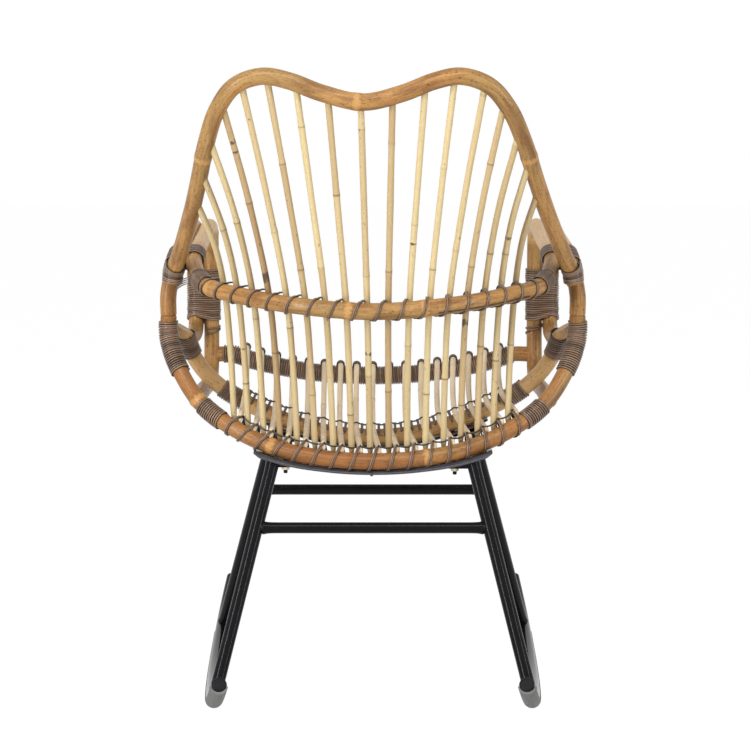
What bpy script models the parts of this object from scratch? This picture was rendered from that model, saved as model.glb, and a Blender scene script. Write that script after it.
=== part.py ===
"""Rattan rocking chair: a bent-pole bucket seat lashed with cane, bolted to a welded steel rocker base.

Units are metres, +Z is up, the sitter looks along -Y and the chair's left hand is +X.
The origin is on the floor, under the middle of the chair.
"""

import math

import bmesh
import bpy
from mathutils import Matrix, Vector

# Fits
CLEARANCE = 0.0003
HOLE_CLEARANCE = 0.0003
BUTT_GAP = 0.0008
SOCKET_DEPTH = 0.008
SOCKET_CUT = 0.060

# Rattan stock
POLE_DIAMETER = 0.024
POLE_SIDES = 12
ROD_SIDES = 8
WRAP_SIDES = 4
RUNNER_SIDES = 16
SPINDLE_DIAMETER = 0.0092
SLAT_DIAMETER = 0.0085
STRAND_DIAMETER = 0.003

# Steel stock
RUNNER_DIAMETER = 0.022
LEG_DIAMETER = 0.019
STRETCHER_DIAMETER = 0.016
BAND_WIDTH = 0.032
BAND_THICKNESS = 0.005
BAND_HALF_SPAN = 0.172
BAND_GAP = 0.0005
GLIDE_THICKNESS = 0.003
GLIDE_FIT = 0.0007
GLIDE_WRAP_DEGREES = 157.5
GLIDE_FACETS = 7
BOLT_DIAMETER = 0.006
BOLT_GRIP = 0.014
NUT_ACROSS_FLATS = 0.010
NUT_HEIGHT = 0.005
BOLT_TAIL = 0.006

# Back hoop; it was bent by hand, so its crest stands a little to the left
BACK_CREST_HEIGHT = 0.916
BACK_DIP_HEIGHT = 0.881
BACK_CREST_X = 0.1365
BACK_TOP_Y = 0.355
BACK_SHOULDER_X = 0.2095
BACK_END_HEIGHT = 0.622
BACK_TAIL = 0.014
BACK_LEAN = 0.0155

# Arms and posts
ARM_HALF_WIDTH = 0.263
POST_HALF_WIDTH = 0.256
ARM_FRONT_HEIGHT = 0.672
ARM_REAR_HEIGHT = 0.648
POST_Y = -0.262
POST_BEND = 0.020
SIDE_RAIL_HEIGHT = 0.432
OUTER_RUN_HEIGHT = 0.504
BELT_HEIGHT = 0.586
BELT_REAR_Y = 0.277
OUTER_END_HEIGHT = 0.561
JUNCTION_X = 0.301
JUNCTION_Y = 0.076

# Seat rails
SEAT_FRONT_HEIGHT = 0.432
SEAT_MID_HEIGHT = 0.371
SEAT_REAR_HEIGHT = 0.361
SEAT_FRONT_Y = -0.257
SEAT_MID_Y = 0.010
SEAT_REAR_Y = 0.193
SEAT_FRONT_RISE = 0.034
MID_CROSSING_RISE = 0.059

# Rods: spacing is measured along the rail that carries them; the wander is how far each
# spindle's top is off its even place, from the middle one to the left and then from the right
ROD_COUNT = 17
SPINDLE_TOP_SPACING = 0.0424
SPINDLE_TOP_SPREAD = 0.000096
SPINDLE_BELT_SPACING = 0.0317
SPINDLE_FOOT_SPACING = 0.0275
SPINDLE_TOP_SHIFT = 0.0075
SPINDLE_BELT_SHIFT = 0.0087
SPINDLE_FOOT_SHIFT = 0.0040
SPINDLE_LIFT = 0.002
SPINDLE_WANDER = (-0.001, 0.003, 0.007, 0.004, -0.005, -0.012, -0.007, 0.005, 0.006,
                  0.003, 0.006, 0.006, 0.005, -0.004, -0.006, -0.008, -0.003)
SLAT_FRONT_SPACING = 0.0262
SLAT_MID_SPACING = 0.0262
SLAT_TIP = 0.003
ROD_SEAT_GAP = 0.0002
SLAT_GAP_SHARE = 0.46
SLAT_BED = 0.00019

# Rocker base
LEG_SPLAY_DEGREES = 14.6
RUNNER_TOE = 0.025
FRONT_LEG_SPREAD = 0.005
LEG_TOP_X = 0.144
REAR_LEG_FOOT_Y = 0.300
FRONT_LEG_FOOT_Y = -0.215
REAR_STRETCHER_HEIGHT = 0.268
FRONT_STRETCHER_HEIGHT = 0.280
CONTACT_Y = 0.040
ROCKING_RADIUS = 1.600
RUNNER_CURL_RADIUS = 0.230
RUNNER_REAR_SLOPES = (8.0, 36.0)
RUNNER_FRONT_SLOPES = (10.0, 40.0)
RUNNER_STEP = 0.040
GLIDE_FRONT_Y = -0.200
BOLT_X = 0.120
REAR_BAND_SETBACK = 0.010
FRONT_BAND_SETBACK = 0.003
BAND_STEPS = 14
LEG_TOP_GAP = 0.0007
NUT_GAP = 0.0022

# Cane windings
BELT_LASH_LOOPS = 17
REAR_LASH_LOOPS = 15
FRONT_WRAP_LOOPS = 24
POST_WRAP_PITCH = 0.0054
POST_WRAP_DROP = 0.070
POST_WRAP_RISE = 0.025
ARM_BINDING_LOOPS = 7
ARM_BINDING_REAR_Y = 0.046
ARM_BINDING_LENGTH = 0.034
FRONT_WRAP_MARGIN = 0.012
LOOP_POINTS = 8
LASH_HOLD = 0.25

POLE_RADIUS = POLE_DIAMETER / 2
SPINDLE_RADIUS = SPINDLE_DIAMETER / 2
SLAT_RADIUS = SLAT_DIAMETER / 2
STRAND_RADIUS = STRAND_DIAMETER / 2
TUBE_RADIUS = RUNNER_DIAMETER / 2
LEG_RADIUS = LEG_DIAMETER / 2
STRETCHER_RADIUS = STRETCHER_DIAMETER / 2
POLE_FLAT_RADIUS = POLE_RADIUS * math.cos(math.pi / POLE_SIDES)
POLE_PITCH = POLE_DIAMETER + CLEARANCE
OUTER_ARM_X = ARM_HALF_WIDTH + POLE_PITCH
OUTER_POST_X = POST_HALF_WIDTH + POLE_PITCH
ARM_TAPER = ARM_HALF_WIDTH - POST_HALF_WIDTH
SPLAY = math.tan(math.radians(LEG_SPLAY_DEGREES))
GLIDE_INSIDE = TUBE_RADIUS + GLIDE_FIT
GLIDE_OUTSIDE = GLIDE_INSIDE + GLIDE_THICKNESS
LOOP_REACH = (POLE_RADIUS + CLEARANCE + STRAND_RADIUS) / math.cos(math.pi / LOOP_POINTS)
WINDING_RADIUS = LOOP_REACH + STRAND_RADIUS
BUCKET_CENTRE = Vector((0.0, -0.02, 0.608))
POST_WRAP_TOP = ARM_FRONT_HEIGHT - POST_WRAP_DROP
POST_WRAP_BOTTOM = OUTER_RUN_HEIGHT + POST_WRAP_RISE
MID_RISE = SIDE_RAIL_HEIGHT + MID_CROSSING_RISE - SEAT_MID_HEIGHT


class Path:
    """A smooth curve through a few points, as a chain of even chords, measured by its length."""

    def __init__(self, points, count, steps=16):
        knots = [Vector(p) for p in points]
        first = knots[0] * 2 - knots[1]
        last = knots[-1] * 2 - knots[-2]
        knots = [first] + knots + [last]
        fine = []
        for i in range(1, len(knots) - 2):
            for k in range(steps):
                fine.append(self.between(knots[i - 1:i + 3], k / steps))
        fine.append(knots[-2])
        self.follow(fine)
        self.follow([self.at(self.length * i / (count - 1)) for i in range(count)])

    def follow(self, points):
        self.points = points
        self.marks = [0.0]
        for a, b in zip(self.points, self.points[1:]):
            self.marks.append(self.marks[-1] + (b - a).length)
        self.length = self.marks[-1]
        self.centre = self.length / 2

    @staticmethod
    def between(knots, t):
        """Centripetal spline between the two middle knots."""
        times = [0.0]
        for a, b in zip(knots, knots[1:]):
            times.append(times[-1] + math.sqrt((b - a).length))
        at = times[1] + t * (times[2] - times[1])

        def mix(a, b, ta, tb):
            return a * ((tb - at) / (tb - ta)) + b * ((at - ta) / (tb - ta))

        low = [mix(knots[i], knots[i + 1], times[i], times[i + 1]) for i in range(3)]
        mid = [mix(low[i], low[i + 1], times[i], times[i + 2]) for i in range(2)]
        return mix(mid[0], mid[1], times[1], times[2])

    def at(self, s):
        s = min(max(s, 0.0), self.length)
        low, high = 0, len(self.marks) - 1
        while high - low > 1:
            middle = (low + high) // 2
            if self.marks[middle] <= s:
                low = middle
            else:
                high = middle
        share = (s - self.marks[low]) / (self.marks[high] - self.marks[low])
        return self.points[low].lerp(self.points[high], share)

    def tangent(self, s, reach=0.002):
        return (self.at(s + reach) - self.at(s - reach)).normalized()

    def inward(self, s, towards=BUCKET_CENTRE):
        """Unit vector square to the curve, pointing to the inside of the bucket."""
        tangent = self.tangent(s)
        aim = towards - self.at(s)
        return (aim - tangent * aim.dot(tangent)).normalized()

    def mark_where(self, value, axis, start=0.0):
        """Length at which a coordinate first passes a value, at or after start."""
        for i in range(len(self.points) - 1):
            if self.marks[i] < start:
                continue
            a = self.points[i][axis]
            b = self.points[i + 1][axis]
            if (a - value) * (b - value) <= 0 and a != b:
                share = (value - a) / (b - a)
                return self.marks[i] + share * (self.marks[i + 1] - self.marks[i])
        raise ValueError("the curve never passes %.4f" % value)


def both_sides(half):
    """Points of a symmetric curve, from right end to left end, out of its left half."""
    right = [(-x, y, z) for x, y, z in reversed(half) if x > 0]
    return right + list(half)


def clear_scene():
    for thing in list(bpy.data.objects):
        bpy.data.objects.remove(thing, do_unlink=True)


def new_collection(name):
    group = bpy.data.collections.new(name)
    bpy.context.scene.collection.children.link(group)
    return group


def finish(name, colour, roughness, metallic=0.0):
    material = bpy.data.materials.new(name)
    material.use_nodes = True
    shader = material.node_tree.nodes["Principled BSDF"]
    shader.inputs["Base Color"].default_value = (*colour, 1.0)
    shader.inputs["Roughness"].default_value = roughness
    shader.inputs["Metallic"].default_value = metallic
    return material


clear_scene()
CHAIR = new_collection("rattan_rocking_chair")
CUTTERS = new_collection("cutters")
POLE_FINISH = finish("varnished_pole", (0.48, 0.25, 0.09), 0.45)
ROD_FINISH = finish("peeled_core", (0.74, 0.57, 0.30), 0.55)
CANE_FINISH = finish("stained_cane", (0.13, 0.08, 0.055), 0.6)
STEEL_FINISH = finish("black_steel", (0.018, 0.018, 0.020), 0.4, 0.6)
GLIDE_FINISH = finish("grey_glide", (0.24, 0.24, 0.24), 0.7)
ZINC_FINISH = finish("zinc_plate", (0.66, 0.58, 0.38), 0.35, 1.0)


def tube(name, points, radius, material, sides=POLE_SIDES):
    """A round bar along points, as a curve with filled ends."""
    curve = bpy.data.curves.new(name, "CURVE")
    curve.dimensions = "3D"
    curve.bevel_depth = radius
    curve.bevel_resolution = sides // 4 - 1
    curve.use_fill_caps = True
    spline = curve.splines.new("POLY")
    spline.points.add(len(points) - 1)
    for spot, point in zip(spline.points, points):
        spot.co = (*point, 1.0)
    spline.use_smooth = True
    curve.materials.append(material)
    thing = bpy.data.objects.new(name, curve)
    CHAIR.objects.link(thing)
    return thing


def as_mesh(thing):
    """The same object as a closed mesh, in place of its curve."""
    bpy.context.view_layer.update()
    graph = bpy.context.evaluated_depsgraph_get()
    mesh = bpy.data.meshes.new_from_object(thing.evaluated_get(graph))
    work = bmesh.new()
    work.from_mesh(mesh)
    bmesh.ops.remove_doubles(work, verts=work.verts, dist=0.00001)
    bmesh.ops.recalc_face_normals(work, faces=work.faces)
    work.to_mesh(mesh)
    work.free()
    name = thing.name
    matrix = thing.matrix_world.copy()
    group = thing.users_collection[0]
    bpy.data.objects.remove(thing, do_unlink=True)
    mesh.name = name
    solid = bpy.data.objects.new(name, mesh)
    solid.matrix_world = matrix
    group.objects.link(solid)
    return solid


def bar(name, start, end, radius, material, sides=10, group=CHAIR, top_plane=None):
    """A straight round bar; with top_plane (point, normal) its end is mitred to that plane."""
    axis = (end - start).normalized()
    mesh = bpy.data.meshes.new(name)
    work = bmesh.new()
    turn = axis.to_track_quat("Z", "Y").to_matrix().to_4x4()
    place = Matrix.Translation((start + end) / 2) @ turn
    bmesh.ops.create_cone(
        work, cap_ends=True, segments=sides, radius1=radius, radius2=radius,
        depth=(end - start).length, matrix=place)
    if top_plane:
        point, normal = top_plane
        for vert in work.verts:
            if (vert.co - end).dot(axis) > -radius * 0.01:
                vert.co += axis * ((point - vert.co).dot(normal) / axis.dot(normal))
    bmesh.ops.recalc_face_normals(work, faces=work.faces)
    work.to_mesh(mesh)
    work.free()
    mesh.materials.append(material)
    thing = bpy.data.objects.new(name, mesh)
    group.objects.link(thing)
    return thing


def as_cutter(thing):
    thing.hide_render = True
    thing.display_type = "WIRE"
    return thing


def combine(thing, other, operation):
    change = thing.modifiers.new(operation.lower() + "_" + other.name, "BOOLEAN")
    change.operation = operation
    change.object = other
    change.solver = "EXACT"


def flat_profile(name, outline, depth, material):
    """A flat outline in X and Z with a depth along Y, centred on Y = 0."""
    curve = bpy.data.curves.new(name, "CURVE")
    curve.dimensions = "2D"
    curve.fill_mode = "BOTH"
    curve.extrude = depth / 2
    spline = curve.splines.new("POLY")
    spline.points.add(len(outline) - 1)
    for spot, (x, z) in zip(spline.points, outline):
        spot.co = (x, z, 0.0, 1.0)
    spline.use_cyclic_u = True
    curve.materials.append(material)
    thing = bpy.data.objects.new(name, curve)
    thing.rotation_euler = (math.pi / 2, 0.0, 0.0)
    CHAIR.objects.link(thing)
    return thing


# Bent poles

def leaning(points):
    """The same points moved to the left, the more so the higher they are."""
    share = BACK_LEAN / (BACK_CREST_HEIGHT - BACK_END_HEIGHT)
    return [(x + share * (z - BACK_END_HEIGHT), y, z) for x, y, z in points]


HOOP = Path(leaning(both_sides([
    (0.0, BACK_TOP_Y, BACK_DIP_HEIGHT),
    (0.055, BACK_TOP_Y - 0.002, BACK_DIP_HEIGHT + 0.012),
    (BACK_CREST_X - 0.036, BACK_TOP_Y - 0.005, BACK_CREST_HEIGHT - 0.006),
    (BACK_CREST_X, BACK_TOP_Y - 0.010, BACK_CREST_HEIGHT),
    (BACK_SHOULDER_X - 0.035, BACK_TOP_Y - 0.017, BACK_CREST_HEIGHT - 0.013),
    (BACK_SHOULDER_X - 0.008, BACK_TOP_Y - 0.032, BACK_CREST_HEIGHT - 0.046),
    (BACK_SHOULDER_X + 0.011, 0.298, BACK_CREST_HEIGHT - 0.092),
    (0.2358, 0.252, BACK_END_HEIGHT + 0.152),
    (0.2527, 0.203, BACK_END_HEIGHT + 0.100),
    (0.2725, 0.150, BACK_END_HEIGHT + 0.048),
    (JUNCTION_X - 0.009, JUNCTION_Y + POLE_PITCH + 0.001, BACK_END_HEIGHT),
    (JUNCTION_X - 0.006, JUNCTION_Y + POLE_PITCH + 0.001, BACK_END_HEIGHT - BACK_TAIL),
])), 44)

BELT = Path(both_sides([
    (0.0, BELT_REAR_Y, BELT_HEIGHT),
    (0.103, BELT_REAR_Y - 0.018, BELT_HEIGHT + 0.006),
    (0.190, BELT_REAR_Y - 0.072, BELT_HEIGHT + 0.016),
    (0.243, BELT_REAR_Y - 0.132, BELT_HEIGHT + 0.026),
    (ARM_HALF_WIDTH, 0.072, ARM_REAR_HEIGHT - 0.012),
    (ARM_HALF_WIDTH, 0.020, ARM_REAR_HEIGHT),
    (ARM_HALF_WIDTH - ARM_TAPER / 2, -0.120, ARM_FRONT_HEIGHT - 0.010),
    (POST_HALF_WIDTH, POST_Y + 0.045, ARM_FRONT_HEIGHT),
    (POST_HALF_WIDTH, POST_Y + 0.010, ARM_FRONT_HEIGHT - 0.012),
    (POST_HALF_WIDTH, POST_Y, ARM_FRONT_HEIGHT - 0.045),
    (POST_HALF_WIDTH, POST_Y, POST_WRAP_BOTTOM),
    (POST_HALF_WIDTH, POST_Y + 0.004, SIDE_RAIL_HEIGHT + 0.045),
    (POST_HALF_WIDTH, POST_Y + 0.018, SIDE_RAIL_HEIGHT + 0.014),
    (POST_HALF_WIDTH, POST_Y + 0.055, SIDE_RAIL_HEIGHT),
    (ARM_HALF_WIDTH - ARM_TAPER / 2, -0.060, SIDE_RAIL_HEIGHT),
    (ARM_HALF_WIDTH - 0.004, 0.098, SIDE_RAIL_HEIGHT + 0.006),
]), 80)

REAR_RAIL = Path(both_sides([
    (0.0, SEAT_REAR_Y, SEAT_REAR_HEIGHT),
    (0.060, SEAT_REAR_Y - 0.002, SEAT_REAR_HEIGHT + 0.003),
    (0.132, SEAT_REAR_Y - 0.012, SEAT_REAR_HEIGHT + 0.015),
    (0.196, SEAT_REAR_Y - 0.032, SEAT_REAR_HEIGHT + 0.040),
    (0.252, SEAT_REAR_Y - 0.066, SEAT_REAR_HEIGHT + 0.077),
    (0.287, SEAT_REAR_Y - 0.098, SEAT_REAR_HEIGHT + 0.128),
    (JUNCTION_X, JUNCTION_Y, OUTER_END_HEIGHT - 0.030),
    (JUNCTION_X, JUNCTION_Y, OUTER_END_HEIGHT - BUTT_GAP),
]), 36)

MID_RAIL = Path(both_sides([
    (0.0, SEAT_MID_Y, SEAT_MID_HEIGHT),
    (0.060, SEAT_MID_Y - 0.001, SEAT_MID_HEIGHT + MID_RISE * 0.042),
    (0.115, SEAT_MID_Y - 0.004, SEAT_MID_HEIGHT + MID_RISE * 0.158),
    (0.181, SEAT_MID_Y - 0.007, SEAT_MID_HEIGHT + MID_RISE * 0.383),
    (0.234, SEAT_MID_Y - 0.004, SEAT_MID_HEIGHT + MID_RISE * 0.667),
    (0.266, SEAT_MID_Y + 0.008, SEAT_MID_HEIGHT + MID_RISE),
    (JUNCTION_X - 0.018, JUNCTION_Y - 0.018, OUTER_END_HEIGHT - 0.008),
]), 36)

FRONT_RAIL_END = POST_HALF_WIDTH - POLE_RADIUS - BUTT_GAP
FRONT_RAIL = Path(both_sides([
    (0.0, SEAT_FRONT_Y, SEAT_FRONT_HEIGHT),
    (0.060, SEAT_FRONT_Y, SEAT_FRONT_HEIGHT + 0.002),
    (0.120, SEAT_FRONT_Y, SEAT_FRONT_HEIGHT + 0.009),
    (0.190, SEAT_FRONT_Y, SEAT_FRONT_HEIGHT + 0.024),
    (FRONT_RAIL_END - 0.022, POST_Y + 0.004, SEAT_FRONT_HEIGHT + SEAT_FRONT_RISE),
    (FRONT_RAIL_END, POST_Y + 0.004, SEAT_FRONT_HEIGHT + SEAT_FRONT_RISE),
]), 26)


def outer_arm_path(side):
    """Outer arm pole: from its lower rear end, over the arm, down the post and back to the mid rail."""
    half = [
        (JUNCTION_X, JUNCTION_Y, OUTER_END_HEIGHT),
        (JUNCTION_X, JUNCTION_Y, OUTER_END_HEIGHT + 0.030),
        (JUNCTION_X - 0.007, JUNCTION_Y - 0.014, ARM_REAR_HEIGHT - 0.018),
        (OUTER_ARM_X + 0.002, 0.020, ARM_REAR_HEIGHT),
        (OUTER_ARM_X - ARM_TAPER / 2, -0.120, ARM_FRONT_HEIGHT - 0.010),
        (OUTER_POST_X, POST_Y + 0.045, ARM_FRONT_HEIGHT),
        (OUTER_POST_X, POST_Y + 0.010, ARM_FRONT_HEIGHT - 0.012),
        (OUTER_POST_X, POST_Y, ARM_FRONT_HEIGHT - 0.045),
        (OUTER_POST_X, POST_Y, OUTER_RUN_HEIGHT + 0.030),
        (OUTER_POST_X, POST_Y + 0.009, OUTER_RUN_HEIGHT + 0.009),
        (OUTER_POST_X, POST_Y + 0.034, OUTER_RUN_HEIGHT),
        (OUTER_ARM_X - 0.006, SEAT_MID_Y, OUTER_RUN_HEIGHT + 0.014),
    ]
    return Path([(side * x, y, z) for x, y, z in half], 36)


OUTER_ARM = outer_arm_path(1)


def make_poles():
    hoop = as_mesh(tube("back_hoop", HOOP.points, POLE_RADIUS, POLE_FINISH))
    tube("belt_pole", BELT.points, POLE_RADIUS, POLE_FINISH)
    rear = as_mesh(tube("seat_rear_rail", REAR_RAIL.points, POLE_RADIUS, POLE_FINISH))
    mid = as_mesh(tube("seat_mid_rail", MID_RAIL.points, POLE_RADIUS, POLE_FINISH))
    tube("seat_front_rail", FRONT_RAIL.points, POLE_RADIUS, POLE_FINISH)
    for name, side in (("left", 1), ("right", -1)):
        points = outer_arm_path(side).points
        tube("outer_arm_pole_" + name, points, POLE_RADIUS, POLE_FINISH)
    return hoop, rear, mid


# Rods of the back and of the seat

def rod_numbers():
    return range(-(ROD_COUNT // 2), ROD_COUNT // 2 + 1)


def seat_point(path, s, rod_radius, rod_direction, carrier_radius=POLE_RADIUS):
    """Centre of a rod that crosses a pole and rests on its inner side."""
    normal = path.tangent(s).cross(rod_direction).normalized()
    if normal.dot(BUCKET_CENTRE - path.at(s)) < 0:
        normal = -normal
    return path.at(s) + normal * (carrier_radius + rod_radius + ROD_SEAT_GAP)


def spindle_foot(i):
    """Where a spindle's foot and belt crossing are along their poles, and its direction between them."""
    foot = REAR_RAIL.centre + i * SPINDLE_FOOT_SPACING + SPINDLE_FOOT_SHIFT
    belt = BELT.centre + i * SPINDLE_BELT_SPACING + SPINDLE_BELT_SHIFT
    return foot, belt, (BELT.at(belt) - REAR_RAIL.at(foot)).normalized()


def spindle_points(i):
    fan = i * SPINDLE_TOP_SPACING + i ** 3 * SPINDLE_TOP_SPREAD
    wander = SPINDLE_WANDER[i % len(SPINDLE_WANDER)]
    crown = HOOP.at(HOOP.centre + fan + SPINDLE_TOP_SHIFT + wander)
    foot, belt, rise = spindle_foot(i)
    low = seat_point(REAR_RAIL, foot, SPINDLE_RADIUS, rise)
    middle = seat_point(BELT, belt, SPINDLE_RADIUS, (crown - low).normalized())
    belly = Path.between([low * 2 - middle, low, middle, crown], 0.5)
    end = low + (belly - low).normalized() * SPINDLE_LIFT
    upper = [Path.between([low, middle, crown, crown * 2 - middle], share) for share in (0.35, 0.7)]
    entry = (crown - upper[1]).normalized()
    tip = crown - entry * (POLE_RADIUS - SOCKET_DEPTH + CLEARANCE)
    return [end, belly, middle] + upper + [tip]


def make_spindles(hoop):
    holes = bmesh.new()
    for number, i in enumerate(rod_numbers(), 1):
        points = spindle_points(i)
        tube("back_spindle_%02d" % number, points, SPINDLE_RADIUS, ROD_FINISH, ROD_SIDES)
        axis = (points[-1] - points[-2]).normalized()
        bore = (SPINDLE_RADIUS + HOLE_CLEARANCE) / math.cos(math.pi / ROD_SIDES)
        centre = points[-1] + axis * (CLEARANCE - SOCKET_CUT / 2)
        turn = axis.to_track_quat("Z", "Y").to_matrix().to_4x4()
        bmesh.ops.create_cone(
            holes, cap_ends=True, segments=ROD_SIDES, radius1=bore, radius2=bore, depth=SOCKET_CUT,
            matrix=Matrix.Translation(centre) @ turn)
    mesh = bpy.data.meshes.new("spindle_sockets")
    holes.to_mesh(mesh)
    holes.free()
    sockets = bpy.data.objects.new("spindle_sockets", mesh)
    CUTTERS.objects.link(as_cutter(sockets))
    combine(hoop, sockets, "DIFFERENCE")


def slat_foot(i):
    """Where a slat ends beside its spindle's foot on the rear rail, and where the lashing goes by."""
    foot, _, _ = spindle_foot(i)
    end, belly = spindle_points(i)[:2]
    upright = (belly - end).normalized()
    along = REAR_RAIL.tangent(foot)
    beside = REAR_RAIL.at(foot - SPINDLE_RADIUS - SLAT_RADIUS)
    heading = (MID_RAIL.at(MID_RAIL.centre + i * SLAT_MID_SPACING) - beside).normalized()
    touch = (SPINDLE_RADIUS + SLAT_RADIUS) / abs(heading.cross(upright).normalized().dot(along))
    slat_flank = SLAT_RADIUS / along.cross(heading).length
    spindle_flank = SPINDLE_RADIUS / along.cross(upright).length
    free = SPINDLE_FOOT_SPACING - touch - slat_flank - spindle_flank - STRAND_DIAMETER
    slat = foot - touch - free * SLAT_GAP_SHARE
    return slat, slat - slat_flank - free * (1 - SLAT_GAP_SHARE) / 2 - STRAND_RADIUS


def make_slats():
    """Seat slats lie beside the spindles' feet, over the mid rail and up the front rail."""
    for number, i in enumerate(rod_numbers(), 1):
        rear, _ = slat_foot(i)
        mid = MID_RAIL.centre + i * SLAT_MID_SPACING
        front = FRONT_RAIL.centre + i * SLAT_FRONT_SPACING
        rise = (MID_RAIL.at(mid) - REAR_RAIL.at(rear)).normalized()
        climb = (FRONT_RAIL.at(front) - MID_RAIL.at(mid)).normalized()
        back_end = seat_point(REAR_RAIL, rear, SLAT_RADIUS, rise)
        over = seat_point(MID_RAIL, mid, SLAT_RADIUS - SLAT_BED, (rise + climb).normalized(), POLE_FLAT_RADIUS)
        up = seat_point(FRONT_RAIL, front, SLAT_RADIUS, climb, WINDING_RADIUS)
        tip = up + (up - over).normalized() * SLAT_TIP
        knots = [back_end * 2 - over, back_end, over, up, tip]
        halves = [Path.between(knots[k:k + 4], 0.5) for k in (0, 1)]
        points = [back_end, halves[0], over, halves[1], up, tip]
        tube("seat_slat_%02d" % number, points, SLAT_RADIUS, ROD_FINISH, ROD_SIDES)


# Steel base

def runner_profile():
    """Side view of the runner's centre line, front to rear: a long arc with curled ends."""
    lift = GLIDE_OUTSIDE
    half_step = RUNNER_STEP / 2

    def slope_points(slopes, direction):
        turn_end, tip = (math.radians(a) for a in slopes)
        points = []
        count = int((turn_end * ROCKING_RADIUS - half_step) / RUNNER_STEP)
        for k in range(count + 1):
            angle = (half_step + k * RUNNER_STEP) / ROCKING_RADIUS
            points.append((ROCKING_RADIUS * math.sin(angle), ROCKING_RADIUS * (1 - math.cos(angle))))
        y0 = ROCKING_RADIUS * math.sin(turn_end)
        z0 = ROCKING_RADIUS * (1 - math.cos(turn_end))
        curl = max(2, round((tip - turn_end) * RUNNER_CURL_RADIUS / RUNNER_STEP * 2))
        for k in range(1, curl + 1):
            angle = turn_end + (tip - turn_end) * k / curl
            y = y0 + RUNNER_CURL_RADIUS * (math.sin(angle) - math.sin(turn_end))
            z = z0 + RUNNER_CURL_RADIUS * (math.cos(turn_end) - math.cos(angle))
            points.append((y, z))
        floor = points[0][1]
        return [(CONTACT_Y + direction * y, lift + z - floor) for y, z in points]

    front = slope_points(RUNNER_FRONT_SLOPES, -1)
    rear = slope_points(RUNNER_REAR_SLOPES, 1)
    return list(reversed(front)) + rear


RUNNER = runner_profile()


def rail_path_of(label):
    return REAR_RAIL if label == "rear" else MID_RAIL


def band_y(label):
    if label == "rear":
        return SEAT_REAR_Y - REAR_BAND_SETBACK
    return SEAT_MID_Y - FRONT_BAND_SETBACK


def base_x(y, z):
    """How far out the side frame stands: splayed to the floor and a little open to the front."""
    return LEG_TOP_X + (REAR_LEG_TOP - z) * SPLAY + (SEAT_REAR_Y - y) * RUNNER_TOE


def band_line(rail, x):
    """Top of a band under a rail at x; the rear rail's lashing lies between the two."""
    s = rail.mark_where(x, 0)
    along = rail.tangent(s)
    lean = math.hypot(along.x, along.z) / abs(along.x)
    skin = WINDING_RADIUS if rail is REAR_RAIL else POLE_RADIUS
    return rail.at(s).z - (skin + BAND_GAP) * lean


REAR_LEG_TOP = band_line(REAR_RAIL, LEG_TOP_X) - BAND_THICKNESS


def make_band(name, label):
    rail = rail_path_of(label)
    xs = [-BAND_HALF_SPAN + 2 * BAND_HALF_SPAN * k / BAND_STEPS for k in range(BAND_STEPS + 1)]
    top = [(x, band_line(rail, x)) for x in xs]
    low = [(x, z - BAND_THICKNESS) for x, z in reversed(top)]
    band = flat_profile(name, top + low, BAND_WIDTH, STEEL_FINISH)
    band.location.y = band_y(label)
    return as_mesh(band)


def rear_lash_centre():
    """Where the rear lashing is centred: it crosses between each slat and the next spindle."""
    last = ROD_COUNT // 2
    _, left = slat_foot(last)
    _, right = slat_foot(1 - last)
    return (left + right) / 2


def lash_step(share):
    """How far a lashing has stepped to its next loop at a share of its turn."""
    return min(max((share - LASH_HOLD) / (1 - 2 * LASH_HOLD), 0.0), 1.0)


def bolt_spot(side, label):
    """A bolt's place on its rail, midway between two strands where the rail is lashed."""
    rail = rail_path_of(label)
    s = rail.mark_where(side * BOLT_X, 0)
    if rail is REAR_RAIL:
        inward = rail.inward(s)
        across = inward.cross(rail.tangent(s))
        down = Vector((0.0, 0.0, -1.0))
        share = (math.atan2(down.dot(across), down.dot(inward)) / (2 * math.pi)) % 1.0
        first = rear_lash_centre() + (lash_step(share) - REAR_LASH_LOOPS / 2 + 0.5) * SPINDLE_FOOT_SPACING
        s = first + round((s - first) / SPINDLE_FOOT_SPACING) * SPINDLE_FOOT_SPACING
    return rail.at(s)


def make_bolts(rail, band, label):
    for name, side in (("left", 1), ("right", -1)):
        x, y, _ = bolt_spot(side, label)
        under = band_line(rail_path_of(label), x) - BAND_THICKNESS
        nut_top = under - NUT_GAP
        tip = under + BAND_THICKNESS + BOLT_GRIP
        tail = nut_top - NUT_HEIGHT - BOLT_TAIL
        shank = bar("base_bolt_%s_%s" % (label, name), Vector((x, y, tail)), Vector((x, y, tip)),
                    BOLT_DIAMETER / 2, ZINC_FINISH, ROD_SIDES)
        nut = bar("nut_%s_%s" % (label, name), Vector((x, y, nut_top - NUT_HEIGHT)),
                  Vector((x, y, nut_top)), NUT_ACROSS_FLATS / math.sqrt(3), ZINC_FINISH, 6, CUTTERS)
        combine(shank, as_cutter(nut), "UNION")
        bore = (BOLT_DIAMETER / 2 + HOLE_CLEARANCE) / math.cos(math.pi / ROD_SIDES)
        hole = bar("bolt_hole_%s_%s" % (label, name), Vector((x, y, tail)),
                   Vector((x, y, tip + CLEARANCE)), bore, STEEL_FINISH, ROD_SIDES, CUTTERS)
        combine(rail, as_cutter(hole), "DIFFERENCE")
        combine(band, hole, "DIFFERENCE")

def runner_point(side, y, z):
    return Vector((side * base_x(y, z), y, z))


def runner_height(y):
    for (y0, z0), (y1, z1) in zip(RUNNER, RUNNER[1:]):
        if y0 <= y <= y1:
            return z0 + (z1 - z0) * (y - y0) / (y1 - y0)
    raise ValueError("the foot is off the runner")


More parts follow.
